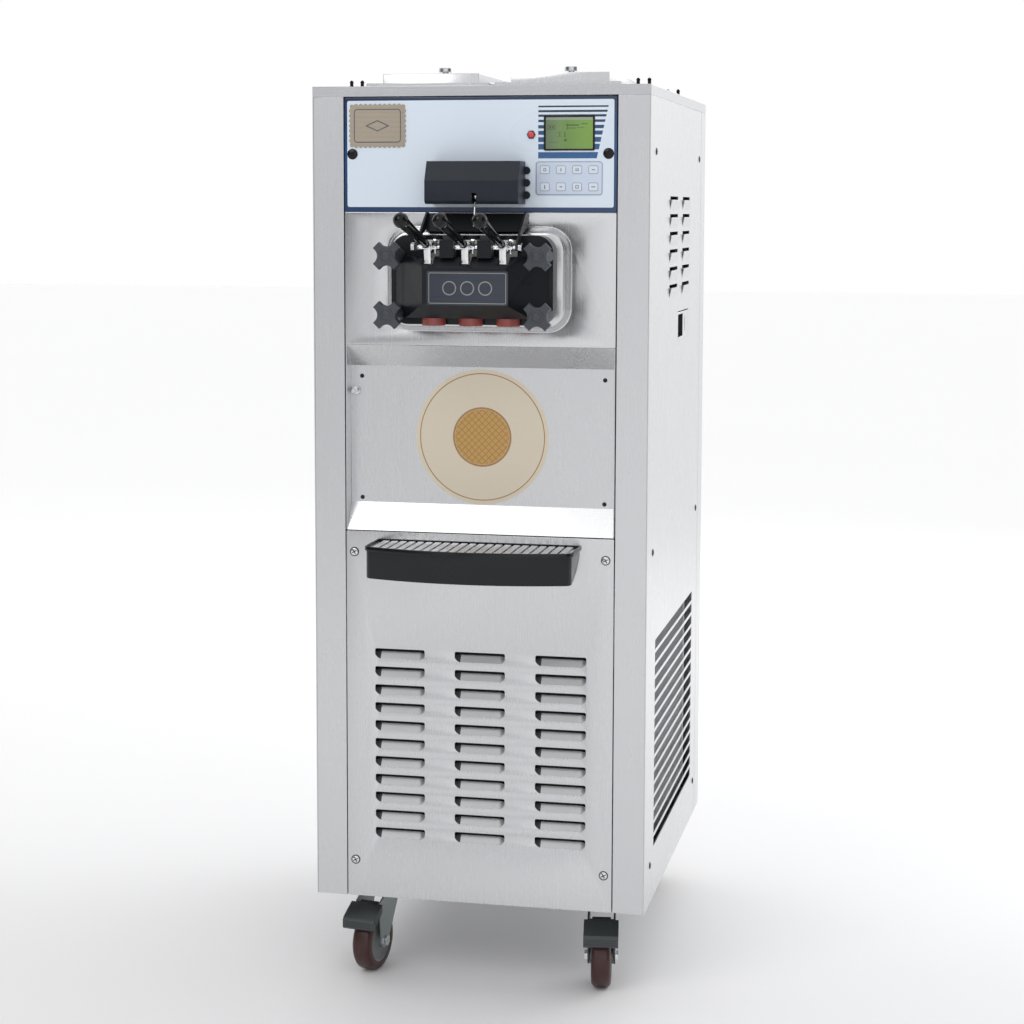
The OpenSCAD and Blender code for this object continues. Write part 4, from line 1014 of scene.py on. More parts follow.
def build_lower_panel(sizes):
    pitch, width = sizes.louvre_pitch / MM, sizes.louvre_width / MM
    low = BASE + sizes.louvre_low / MM
    columns = [-129.5 + COLUMN_STEP * i for i in range(3)]
    middle = (BASE + LOWER_TOP) / 2
    outline = moved(rounded_loop(2 * PANEL_HALF, LOWER_TOP - BASE, 1.5, 3), 0.0, middle)
    holes = [moved(louvre_window(width, SCOOP, SLIT), x, low + row * pitch - SLIT - SCOOP)
             for x in columns for row in range(sizes.louvre_rows)]
    ring_hole = moved(rounded_loop(2 * PANEL_HALF - 3.0, LOWER_TOP - BASE - 3.0, 1.0, 3), 0.0, middle)
    panel = join([(cut_sheet(outline, holes, 0.0, -1.5), 0, None),
                  (cut_sheet(outline, [ring_hole], -1.0, -10.0), 0, None)])
    finished("lower_front_sheet", panel, "cabinet", ["white_steel"], ["lower_front_panel"])
    # A black mat behind the louvres: a dust filter, and also a dark sheet that paints shade into the open
    # slits.
    mat = block((columns[0] - 55.0, FRONT + 8.6, BASE + 84.0),
                (columns[-1] + 55.0, FRONT + 9.6, low + sizes.louvre_rows * pitch), 0.4)
    finished("louvre_filter_mat", mat, "cabinet", ["black_rubber"], ["lower_front_panel"])
    # The cheeks take a near-black steel and the scoops a steel darker than the panel's own: both are
    # painted shade in the pressed recesses.
    for name, finish, ends in (("front_louvre_cheeks", "louvre_cheek_painted_shade", (-width / 2, EAR - width / 2)),
                               ("front_louvres", "louvre_steel_painted_shade", (EAR - width / 2, width / 2))):
        scoops = repeated("rows", {
            "Columns": 3, "Rows": sizes.louvre_rows,
            "First": at(columns[0], -0.3, low - SLIT - SCOOP) * MM,
            "Column step": (COLUMN_STEP * MM, 0.0, 0.0), "Row step": (0.0, 0.0, pitch * MM),
            "Finish": FINISH[finish],
        }, pressed_louvre(width, SCOOP, SCOOP_DEPTH, ends))
        finished(name, scoops, "cabinet", [finish], ["lower_front_panel"])


def build_upper_panel():
    half_w, half_h = 148.0, (HEAD_HIGH - HEAD_LOW + 27.0) / 2
    middle = (UPPER_LOW + FASCIA_LOW) / 2
    outline = moved(rounded_loop(2 * PANEL_HALF, FASCIA_LOW - UPPER_LOW - 0.4, 1.5, 3), 0.0, middle)
    hole = moved(rounded_loop(2 * half_w - 2, 2 * half_h - 2, 35.0, 12), 0.0, HEAD_MID)
    ring_hole = moved(rounded_loop(2 * PANEL_HALF - 3.0, FASCIA_LOW - UPPER_LOW - 3.4, 1.0, 3), 0.0,
                      middle)
    rings = []
    for inset, reach in ((0.6, -1.2), (0.0, 0.0), (0.6, 0.15), (1.6, 0.9), (2.8, 2.8), (4.8, 8.0),
                         (7.0, 13.2),
                         (8.6, 16.0), (10.4, 17.5), (12.6, 18.0), (34.0, 18.0)):
        radius = max(38.0 - inset, 10.0)
        loop = rounded_loop(2 * (half_w - inset), 2 * (half_h - inset), radius, 12)
        rings.append(facing(moved(loop, 0.0, HEAD_MID), reach))
    panel = join([(cut_sheet(outline, [hole], 0.0, -1.5), 0, None),
                  (cut_sheet(outline, [ring_hole], -1.0, -10.0), 0, None),
                  (loft(rings), 0, None)])
    finished("head_surround", panel, "cabinet", ["stainless_light"], ["front_upper_panel"],
             50.0)


def build_splash():
    softened("splash_panel", 0.4, ["splash_print"], angle=60.0, smooth=12.0)


# ---- controls ----


def build_fascia():
    middle, height = (FASCIA_LOW + FASCIA_HIGH) / 2, FASCIA_HIGH - FASCIA_LOW
    outline = moved(rounded_loop(2 * PANEL_HALF, height, 2.0, 4), 0.0, middle)
    inner = moved(rounded_loop(2 * PANEL_HALF - 3.0, height - 3.0, 1.0, 3), 0.0, middle)
    panel = join([(cut_sheet(outline, [], 0.0, -1.5), 0, None),
                  (cut_sheet(outline, [inner], -1.0, -10.0), 1, None)])
    finished("fascia_panel", panel, "cabinet", ["fascia_face", "stainless_light"],
             ["control_fascia"])
    loop, scallops = [], 38
    base = rounded_loop(88.0, 64.0, 5.0, 6)
    lengths = [math.dist(a, b) for a, b in zip(base, base[1:] + base[:1])]
    around = sum(lengths)
    for step in range(scallops * 8):
        goal, walked = around * step / (scallops * 8), 0.0
        for (a, b), length in zip(zip(base, base[1:] + base[:1]), lengths):
            if walked + length >= goal and length > 0:
                share = (goal - walked) / length
                u, v = a[0] + (b[0] - a[0]) * share, a[1] + (b[1] - a[1]) * share
                normal = Vector(((b[1] - a[1]), -(b[0] - a[0]))).normalized()
                swell = 2.4 * abs(math.sin(math.pi * step / 8))
                loop.append((u + normal.x * swell, v + normal.y * swell))
                break
            walked += length
    badge = cut_sheet(moved(loop, -PANEL_HALF + 54.0, FASCIA_HIGH - 44.0), [], 1.2, 0.0, 0.2)
    finished("badge_plate", badge, "cabinet", ["badge_tan"], ["control_fascia"])


def build_display():
    middle_x, middle_z = (DISPLAY_LOW.x + DISPLAY_HIGH.x) / 2, (DISPLAY_LOW.z + DISPLAY_HIGH.z) / 2
    outer = moved(rounded_loop(80.0, 54.0, 2.0, 4), middle_x, middle_z)
    window = moved(rounded_loop(74.0, 48.5, 1.5, 4), middle_x, middle_z)
    bezel = cut_sheet(outer, [window], 1.5, 0.05, 0.35)
    glass = cut_sheet(moved(rounded_loop(75.0, 49.5, 1.0, 3), middle_x, middle_z), [], 0.8, 0.1, 0.1)
    finished("display_bezel", bezel, "cabinet", ["black_grip"], ["display_window"])
    finished("display_screen", glass, "cabinet", ["display_green"], ["display_window"])


def build_keypad():
    middle_x, middle_z = (KEYPAD_LOW.x + KEYPAD_HIGH.x) / 2, (KEYPAD_LOW.z + KEYPAD_HIGH.z) / 2
    film = cut_sheet(moved(rounded_loop(106.0, 53.0, 5.0, 6), middle_x, middle_z), [], 0.8, 0.0, 0.2)
    finished("keypad_sheet", film, "cabinet", ["keypad_film"], ["membrane_keypad"])
    rings = [[Vector((x, -reach, z)) for x,
              z in rounded_loop(15.5 - 2 * inset, 13.0 - 2 * inset, 2.4 - inset, 5)]
             for inset, reach in ((0.0, 0.0), (0.0, 0.35), (0.25, 0.62), (0.9, 0.8), (1.8, 0.84))]
    keys = repeated("rows", {
        "Columns": 4, "Rows": 2, "First": at(middle_x - 1.5 * 25.4, 0.6, middle_z - 13.15) * MM,
        "Column step": (25.4 * MM, 0.0, 0.0), "Row step": (0.0, 0.0, 26.3 * MM),
        "Finish": FINISH["keypad_film"],
    }, loft(rings))
    finished("keypad_keys", keys, "cabinet", ["keypad_film"], ["membrane_keypad"])


def build_lamp():
    low, high = cad("indicator_lamp")
    stand = Matrix.Translation((low + high) / 2) @ Matrix.Rotation(math.pi / 2, 4, "X")
    stand.translation.y = FRONT
    lens = [(5.0, 1.0)] + [(5.0 * math.cos(a), 2.2 + 1.8 * math.sin(a))
                           for a in (0.0, 0.4, 0.8, 1.2)] + [(0.0, 4.0)]
    lamp = join([(lathe([(0.0, 0.0), (7.0, 0.0), (7.0, 1.4), (6.5, 2.0), (5.2, 2.0), (5.0, 1.4),
                         (0.0, 1.4)], 6), 1, stand.copy()),
                 (lathe([(0.0, 0.9)] + lens, 32), 0, stand)])
    finished("warning_lamp", lamp, "cabinet", ["lamp_red", "black_plastic"],
             ["indicator_lamp"])


def build_switch_box():
    softened("switch_box", 1.2)
    low, high = cad("actuator_rod")
    pivot = Vector(JOINT["actuator_rod_swing"]["pos_m"]) / MM
    ends = (low.y + 2.2, high.y - 2.2)
    tip = Vector((pivot.x, max(ends, key=lambda y: abs(y - pivot.y)), low.z + 2.2))
    turn = Matrix.Translation(pivot) @ Matrix.Rotation(math.pi / 2, 4, "Y")
    ring = lathe([(2.2, -2.5), (3.6, -2.5), (4.0, -2.1), (4.0, 2.1), (3.6, 2.5), (2.2, 2.5), (2.2, -2.5)],
                 32)
    away = (tip - pivot).normalized()
    rod = tube([pivot + away * 3.6, pivot.lerp(tip, 0.5), tip], 1.6, 16)
    finished("push_rod", join([(ring, 0, turn), (rod, 0, None)]), "actuator_rod",
             ["bright_steel"], ["actuator_rod"])


# ---- dispensing head ----


def build_head():
    softened("dispensing_head", 1.8, angle=28.0)
    plate = cut_sheet(moved(rounded_loop(127.0, 52.0, 3.0, 5), 6.0, LABEL_Z), [], HEAD_OUT + 0.9,
                      HEAD_OUT - 0.2, 0.35)
    finished("head_label_plate", plate, "cabinet", ["head_label"])
    for node, edge in (("nozzle_caps", 0.9), ("door_studs", 0.5), ("handle_rod", 0.6),
                       ("draw_plate", 0.6),
                       ("plunger_left", 0.8), ("plunger_centre", 0.8), ("plunger_right", 0.8)):
        softened(node, edge)


def grip_profile(length, ball):
    """A phenolic grip: a ferrule, a tapering neck that swells, and an end ball."""
    profile = [(0.0, 20.0), (5.6, 20.0), (6.3, 20.7), (6.3, 23.5), (5.9, 24.2), (6.4, 30.0)]
    profile += [(6.4 + 3.0 * s ** 1.3, 30.0 + (length - 46.0) * s) for s in (0.2, 0.4, 0.6, 0.8, 1.0)]
    start = math.asin(min(1.0, 9.6 / ball))
    profile += [(ball * math.sin(a), length - ball * math.cos(a))
                for a in [start + (math.pi - start) * i / 14 for i in range(14)]]
    return profile + [(0.0, length + ball)]


def build_handles():
    ball = 11.5
    for place in ("left", "centre", "right"):
        node = "draw_handle_" + place
        low, high = cad(node)
        pivot = Vector(JOINT["handle_%s_pull" % place]["pos_m"]) / MM
        lift, forward = high.z - ball - pivot.z, pivot.y - (low.y + ball)
        length, rise = math.hypot(lift, forward), math.atan2(lift, forward)
        lean = Matrix.Translation(pivot) @ Matrix.Rotation(math.pi / 2 - rise, 4, "X")
        hub_turn = Matrix.Translation(pivot) @ Matrix.Rotation(math.pi / 2, 4, "Y")
        reach, z = FRONT - pivot.y, pivot.z
        toe = [(reach + 4, z + 9), (reach + 9, z + 9), (reach + 12.6, z + 5), (reach + 13, z - 4),
               (reach + 11.6, z - 13),
               (reach + 10.6, z - 20), (reach + 11.4, z - 25.6), (reach + 7.2, z - 26),
               (reach + 5.8, z - 20),
               (reach + 6.2, z - 12), (reach + 4.6, z - 6)]
        x = pivot.x
        screw_x, screw_y = x + 11.0, pivot.y - 5.0
        parts = [
            (lathe(grip_profile(length, ball), 40), 1, lean),
            (lathe([(4.4, -7.0), (8.2, -7.0), (9.0, -6.2), (9.0, 6.2), (8.2, 7.0), (4.4, 7.0),
                    (4.4, -7.0)], 40), 0, hub_turn),
            (lathe([(0.0, 6.0), (4.9, 6.0), (4.9, 20.5), (0.0, 20.5)], 24), 0, lean.copy()),
            (block((x - 6, pivot.y + 4.6, z - 3), (x + 6, pivot.y + 24, z + 3), 0.8), 0, None),
            (lathe([(0.0, -6.0), (3.5, -6.0), (4.0, -5.5), (4.0, 5.5), (3.5, 6.0), (0.0, 6.0)], 24), 0,
             Matrix.Translation(pivot + Vector((0, 24, 0))) @ Matrix.Rotation(math.pi / 2, 4, "Y")),
            (prism(toe, x - 5.5, x + 5.5, 1.0), 0, None),
            (tube([(x - 14, pivot.y - 12, z - 1), (x - 9, pivot.y - 12, z - 1),
                   (x - 4, pivot.y - 11.5, z - 1)], 2.5, 16), 0, None),
            (block((x + 5, pivot.y - 9, z - 3), (x + 14, pivot.y - 2, z + 2), 0.7), 0, None),
            (tube([(screw_x, screw_y, z - 9.5), (screw_x, screw_y, z), (screw_x, screw_y, z + 11)], 1.6,
                  12), 0, None),
            (lathe([(0.0, 0.0), (3.6, 0.0), (4.0, 0.4), (4.0, 3.4), (3.4, 4.4), (0.0, 4.8)], 6), 0,
             Matrix.Translation((screw_x, screw_y, z + 8.2))),
        ]
        finished("draw_lever_" + place, join(parts), "handle_" + place,
                 ["bright_steel", "black_grip"], [node])
        spring = repeated("spring", {
            "Turns": 5.0, "Radius": 2.35 * MM, "Height": 6.0 * MM, "Wire": 0.45 * MM,
            "Finish": FINISH["black_plastic"]})
        spring.transform(Matrix.Translation(Vector((screw_x, screw_y, z + 2.2)) * MM))
        finished("lever_spring_" + place, spring, "handle_" + place, ["black_plastic"],
                 smooth=80.0)


def star_loop(tip, waist, inset, count=120):
    """Outline of a four-armed knob: blunt arms on the diagonals with hollows cut between them."""
    hollow = (tip ** 2 - waist ** 2) / (2 * (0.876 * tip - waist))
    scoop = hollow - waist
    loop = []
    for i in range(count):
        angle = 2 * math.pi * i / count
        off = abs((math.degrees(angle) + 45.0) % 90.0 - 45.0)
        across = hollow * math.sin(math.radians(off))
        radius = 0.97 * tip / math.cos(math.radians(45.0 - off))
        if across < scoop:
            radius = min(radius,
                         hollow * math.cos(math.radians(off)) - math.sqrt(scoop ** 2 - across ** 2))
        radius -= inset
        loop.append((radius * math.cos(angle), radius * math.sin(angle)))
    return loop


def build_knobs():
    for height in ("upper", "lower"):
        for side in ("left", "right"):
            node = "star_knob_%s_%s" % (height, side)
            low, high = cad(node)
            middle = (low + high) / 2
            face = FRONT - low.y - 1.5
            back = FRONT - high.y
            rings = []
            for inset, reach in ((3.0, face - 15), (1.6, face - 14.6), (0.4, face - 13.2),
                                 (0.0, face - 11),
                                 (0.0, face - 3.4), (0.4, face - 1.8), (1.3, face - 0.6),
                                 (2.4, face - 0.1), (4.5, face)):
                loop = moved(star_loop(24.2, 14.6, inset), middle.x, middle.z)
                rings.append(facing(loop, reach))
            stand = Matrix.Translation((middle.x, FRONT, middle.z)) @ Matrix.Rotation(math.pi / 2, 4, "X")
            hub = lathe([(4.3, back), (12.0, back), (12.0, face - 14), (11.6, face - 0.4),
                         (10.6, face + 0.9),
                         (9.4, face + 1.5), (8.2, face + 1.4), (7.6, face + 0.6), (6.4, face + 0.5),
                         (5.4, face + 1.2),
                         (3.0, face + 1.5), (0.0, face + 1.5), (0.0, back + 4), (4.3, back + 4),
                         (4.3, back)], 40)
            finished("knob_%s_%s" % (height, side), join([(loft(rings), 0, None), (hub, 0, stand)]),
                     node, ["slate_plastic"], [node])


# ---- screws, caps and pegs ----


def build_fasteners():
    side_z = (BASE + 63.0, BASE + 573.0, TOP - 16.0 - 85.0)
    front = [(at(s * (PANEL_HALF - 13.0), 0.0, z), TOWARDS_FRONT) for s in (-1, 1)
             for z in (LOWER_TOP - 34.0, BASE + 60.0)]
    small = [(at(s * (PANEL_HALF - 20.0), -RECESS, z), TOWARDS_FRONT)
             for s in (-1, 1) for z in (SPLASH_LOW + 50.0, SPLASH_HIGH - 51.8)]
    sides = [(Vector((s * HALF_W, y, z)), TOWARDS_RIGHT if s > 0 else TOWARDS_LEFT)
             for s in (-1, 1) for z in side_z for y in (FRONT + 60.0, REAR - 85.0)]
    for name, points, head, finish in (
            ("front_screws", front, screw_head(7.0, 1.6, False), "bright_steel"),
            # The dark cross and ring on each front screw are painted shade in its slots and round its rim.
            ("front_screw_slots", front, painted_shade_of_screw(7.0, 1.6), "black_rubber"),
            ("splash_screws", small, screw_head(3.5, 2.0), "dark_grey_plastic"),
            ("side_screws", sides, screw_head(6.0, 1.6), "dark_grey_plastic")):
        mesh = repeated("places", {"Finish": FINISH[finish]}, head, points)
        finished(name, mesh, "cabinet", [finish], ["panel_screws"])
    dome = [(0.0, 0.0), (8.5, 0.0)] + [(8.5 * math.cos(a), 1.9 * math.sin(a) + 0.1)
                                       for a in (0.15, 0.45, 0.8, 1.15)] + [(0.0, 2.0)]
    caps = [(at(s * (PANEL_HALF - 13.0), 0.0, FASCIA_HIGH - 88.0), TOWARDS_FRONT) for s in (-1, 1)]
    mesh = repeated("places", {"Finish": FINISH["black_grip"]}, lathe(dome, 40), caps)
    finished("fascia_caps", mesh, "cabinet", ["black_grip"], ["panel_screws"])
    x, z = -PANEL_HALF + 10.5, UPPER_LOW - 75.0
    stand = Matrix.Translation(at(x, -RECESS, z)) @ Matrix.Rotation(math.pi / 2, 4, "X")
    hook = join([(lathe([(0.0, 0.0), (8.0, 0.0), (8.0, 1.8), (7.2, 2.8), (3.4, 3.0), (3.0, 4.5),
                         (3.0, 13.0), (4.2, 14.5),
                         (4.2, 17.0), (3.4, 18.0), (0.0, 18.0)], 32), 0, stand)])
    finished("cone_holder_stud", hook, "cabinet", ["bright_steel"], ["panel_screws"])
    pegs = [(Vector((s * (HALF_W - x), FRONT + y, TOP)), (0.0, 0.0, 0.0))
            for s in (-1, 1) for x in (24.0, 42.0) for y in (140.0, REAR - FRONT - 200.0)]
    peg = lathe([(0.0, 0.0), (2.75, 0.0), (2.75, 13.0), (3.2, 13.5), (3.2, 15.2)] +
                [(2.75 * math.cos(a), 15.0 + 2.7 * math.sin(a))
                 for a in (0.3, 0.8, 1.2)] + [(0.0, 17.75)], 20)
    mesh = repeated("places", {"Finish": FINISH["black_rubber"]}, peg, pegs)
    finished("rest_pegs", mesh, "cabinet", ["black_rubber"], ["top_pegs"])


# ---- tray, drawer and lids ----


TRAY_LOW, TRAY_HIGH = cad("drip_tray")
TRAY_HALF, TRAY_FAR = TRAY_HIGH.x, FRONT - TRAY_LOW.y
TRAY_BOW, TRAY_CORNER, TRAY_WALL, TRAY_LEDGE, TRAY_RIM = 28.0, 14.0, 3.0, 6.0, 7.0
BOW_RADIUS = (TRAY_HALF ** 2 + TRAY_BOW ** 2) / (2 * TRAY_BOW)
TRAY_DEEP, TRAY_OUT = TRAY_HIGH.z - TRAY_LOW.z, TRAY_FAR - TRAY_BOW
TRAY_UNDERSIDE = [(-1.0, TRAY_DEEP - 14.0), (0.14 * TRAY_OUT, 0.52 * TRAY_DEEP),
                  (0.34 * TRAY_OUT, 0.28 * TRAY_DEEP),
                  (0.64 * TRAY_OUT, 0.08 * TRAY_DEEP), (0.84 * TRAY_OUT, 0.0), (2 * TRAY_FAR, 0.0)]


def tray_loop(inset):
    """Plan of the tray as (x, reach) pairs: straight sides, round corners, bowed front."""
    centre = TRAY_FAR - BOW_RADIUS
    corner_x = TRAY_HALF - TRAY_CORNER
    corner_reach = centre + math.sqrt((BOW_RADIUS - TRAY_CORNER) ** 2 - corner_x ** 2)
    meet = math.atan2(corner_reach - centre, corner_x)
    right = []
    for i in range(13):
        right.append((TRAY_HALF - inset, corner_reach + (max(inset, 0.2) - corner_reach) * (1 - i / 12)))
    for i in range(1, 9):
        turn = meet * i / 8
        right.append((corner_x + (TRAY_CORNER - inset) * math.cos(turn),
                      corner_reach + (TRAY_CORNER - inset) * math.sin(turn)))
    for i in range(1, 17):
        turn = meet + (math.pi / 2 - meet) * i / 16.5
        right.append(((BOW_RADIUS - inset) * math.cos(turn),
                      centre + (BOW_RADIUS - inset) * math.sin(turn)))
    return right + [(-x, reach) for x, reach in reversed(right)]


def underside(reach):
    """Height of the tray's sloping underside above its lowest edge."""
    for (near, high), (far, low) in zip(TRAY_UNDERSIDE, TRAY_UNDERSIDE[1:]):
        if reach <= far:
            return high + (low - high) * (reach - near) / (far - near)
    return 0.0


def tray_rings(levels):
    """Loops of the tray's plan; each level is (inset, height), or (inset, None, lift) on the underside."""
    rings = []
    for level in levels:
        ring = []
        for x, reach in tray_loop(level[0]):
            z = TRAY_LOW.z + underside(reach) + level[2] if level[1] is None else level[1]
            ring.append(at(x, reach, z))
        rings.append(ring)
    return rings


def laced(rings, low_end, high_end):
    """Walls between loops; an end that is closed is laced from side to side."""
    shape = bmesh.new()
    loops = [[shape.verts.new(point) for point in ring] for ring in rings]
    count = len(loops[0])
    for low, high in zip(loops, loops[1:]):
        for i in range(count):
            shape.faces.new((low[i], low[(i + 1) % count], high[(i + 1) % count], high[i]))
    for loop in ([loops[0]] if low_end else []) + ([loops[-1]] if high_end else []):
        for i in range(count // 2 - 1):
            shape.faces.new((loop[i], loop[i + 1], loop[count - 2 - i], loop[count - 1 - i]))
    return outward(shape)


def build_tray(sizes):
    top, rim = TRAY_HIGH.z, 2.5
    levels = [(rim + 1.6, None, 0.0), (rim + 0.5, None, 0.4), (rim, None, 1.6), (rim, top - TRAY_RIM),
              (0.7, top - TRAY_RIM),
              (0.0, top - TRAY_RIM + 0.8), (0.0, top - 1.4), (0.4, top - 0.4), (1.3, top),
              (TRAY_WALL - 0.7, top),
              (TRAY_WALL, top - 0.7), (TRAY_WALL, top - TRAY_LEDGE),
              (TRAY_WALL + TRAY_LEDGE - 0.6, top - TRAY_LEDGE),
              (TRAY_WALL + TRAY_LEDGE, top - TRAY_LEDGE - 0.6), (TRAY_WALL + TRAY_LEDGE, None, TRAY_WALL)]
    shell = laced(tray_rings(levels), True, True)
    finished("drip_tray_shell", shell, "tray", ["gloss_black_plastic"],
             ["drip_tray"], 40.0)
    low, high = cad("drip_grid")
    out, inner = TRAY_WALL + 0.5, TRAY_WALL + TRAY_LEDGE + 3.0
    levels = [(out, low.z), (out, low.z + 1.6), (out + 0.4, low.z + 2.0), (inner - 0.4, low.z + 2.0),
              (inner, low.z + 1.6),
              (inner, low.z), (out, low.z)]
    half = high.x - TRAY_WALL - 8.0
    rails = [(block((-half, FRONT - y - 2, low.z), (half, FRONT - y + 2, low.z + 1.8), 0.4), 0, None)
             for y in (0.36 * TRAY_OUT, 0.85 * TRAY_OUT)]
    frame_ring = join([(laced(tray_rings(levels), False, False), 0, None)] + rails)
    finished("grid_frame", frame_ring, "grid", ["stainless_light"], ["drip_grid"])
    first = -(TRAY_HALF - TRAY_WALL - 14.0)
    step = -2 * first / (sizes.grid_bars - 1)
    rings = [[Vector((u, y, v)) for u, v in rounded_loop(0.74 * step, 3.0, 0.9, 4)] for y in (-1.0, 0.0)]
    slats = repeated("bars", {
        "Bars": sizes.grid_bars, "First": Vector((first, FRONT - 6.4, high.z - 1.6)) * MM,
        "Step": (step * MM, 0.0, 0.0),
        "Bow radius": BOW_RADIUS * MM, "Middle length": (TRAY_FAR - 13.4) * MM,
        "Finish": FINISH["grid_steel"],
    }, loft(rings))
    finished("grid_slats", slats, "grid", ["grid_steel"], ["drip_grid"])


def build_drawer():
    low, high = cad("leak_drawer")

    # Faces in the drawer's finger well take black plastic: painted shade inside the recess.
    def finger_well_painted_shade(centre):
        across = high.x - 7.4 < centre.x < high.x - 0.4
        return across and low.z + 2 < centre.z < high.z - 2 and centre.y < high.y - 2

    softened("leak_drawer", 0.5, ["white_steel", "black_plastic"], finger_well_painted_shade)


def build_lids():
    for side in ("left", "right"):
        softened("hopper_lid_" + side, 1.2)
    softened("mix_hoppers", 0.6)


# ---- casters ----


def caster_frame(place):
    """Matrix of a caster: swivel axis up, rolling forward along its own Y."""
    swivel = Vector(JOINT["fork_%s_swivel" % place]["pos_m"]) / MM
    axis = Vector(JOINT["wheel_%s_roll" % place]["axis"])
    turn = math.atan2(axis.y, axis.x)
    return Matrix.Translation((swivel.x, swivel.y, 0.0)) @ Matrix.Rotation(turn, 4, "Z")


def build_casters():
    softened("caster_plates", 0.6)
    for place in ("front_left", "front_right", "rear_left", "rear_right"):
        stand = caster_frame(place)
        local = stand.inverted()
        axle = local @ (Vector(JOINT["wheel_%s_roll" % place]["pos_m"]) / MM)

        def hardware(centre, local=local, axle=axle):
            point = local @ centre
            return math.hypot(point.y - axle.y, point.z - axle.z) < 9.8 and abs(point.x) > 22.7

        softened("caster_fork_" + place, 0.5,
                 ["fork_zinc" if "rear" in place or "left" in place else "dark_fork", "bright_steel"],
                 hardware)
        turn = stand @ Matrix.Translation((0.0, axle.y, axle.z)) @ Matrix.Rotation(math.pi / 2, 4, "Y")
        radius, half = 50.0, 16.0
        tread = [(36.0, -half + 0.3)] + [(radius - 8 + 8 * math.cos(a), (half - 8) * s + 8 * math.sin(a))
                 for s,
                 steps in ((-1, (-1.45, -1.1, -0.75, -0.4, 0.0)), (1, (0.0, 0.4, 0.75, 1.1, 1.45)))
                 for a in steps]
        tread += [(36.0, half - 0.3), (36.0, -half + 0.3)]
        hub = [(5.1, -19.0), (12.5, -19.0), (13.0, -18.5), (13.2, -15.0), (17.5, -13.2), (19.0, -12.4),
               (32.5, -12.4),
               (34.0, -14.0), (36.6, -15.4), (36.6, 15.4), (34.0, 14.0), (32.5, 12.4), (19.0, 12.4),
               (17.5, 13.2),
               (13.2, 15.0), (13.0, 18.5), (12.5, 19.0), (5.1, 19.0), (5.1, -19.0)]
        wheel = join([(lathe(tread, 72), 0, turn.copy()), (lathe(hub, 48), 1, turn)])
        finished("wheel_" + place, wheel, "wheel_" + place,
                 ["burgundy_tyre", "hub_grey"],
                 ["caster_wheel_" + place])
    for side in ("left", "right"):
        softened("brake_pedal_" + side, 1.4, ["dark_fork"])
        stand = caster_frame("front_" + side)
        low, high = cad("brake_pedal_" + side)
        rib = block((-24.0, -0.5, -0.7), (24.0, 0.9, 0.7), 0.5)
        points = [(stand @ Vector((0.0, -85.6, z)), (0.0, 0.0, stand.to_euler().z))
                  for z in (86.5, 90.0, 93.5)]
        mesh = repeated("places", {"Finish": FINISH["black_plastic"]}, rib, points)
        finished("pedal_ribs_" + side, mesh, "pedal_" + side, ["black_plastic"])


# ---- inside ----


def build_inside(sizes):
    low, high = cad("condenser")
    plates = [(block((low.x, y, low.z), (high.x, y + 2.0, high.z), 0.4), 0, None)
              for y in (low.y, high.y - 2.0)]
    plates += [(block((low.x, low.y + 2, z), (high.x, high.y - 2, z + 2.0), 0.4), 0, None)
               for z in (low.z, high.z - 2.0)]
    runs = [(tube([(x, y, low.z + 18 + 26 * i) for y in (low.y + 2.5, high.y - 2.5)], 4.5, 10), 1, None)
            for x in (low.x + 13, high.x - 13) for i in range(int((high.z - low.z - 30) / 26))]
    finished("condenser_case", join(plates + runs), "cabinet",
             ["fin_aluminium", "copper_tube"], ["condenser"])
    pitch = sizes.fin_pitch / MM
    count = int((high.y - low.y - 8.0) / pitch)
    fin = block((low.x + 1.5, -0.2, low.z + 2.5), (high.x - 1.5, 0.2, high.z - 2.5), 0.05, 1)
    fins = repeated("rows", {
        "Columns": count, "Rows": 1, "First": (0.0, (low.y + 4.0) * MM, 0.0),
        "Column step": (0.0, pitch * MM, 0.0),
        "Row step": (0.0, 0.0, 0.0), "Finish": FINISH["fin_aluminium"]}, fin)
    finished("condenser_fins", fins, "cabinet", ["fin_aluminium"], ["condenser"])
    for node, edge in (("compressor", 3.0), ("fan_shroud", 1.0), ("fan_blade", 0.5),
                       ("electrical_box", 0.8),
                       ("freezing_barrels", 0.8), ("beater_gearmotors", 2.0), ("beater_left", 0.5),
                       ("beater_right", 0.5)):
        softened(node, edge)


# ---- stage ----


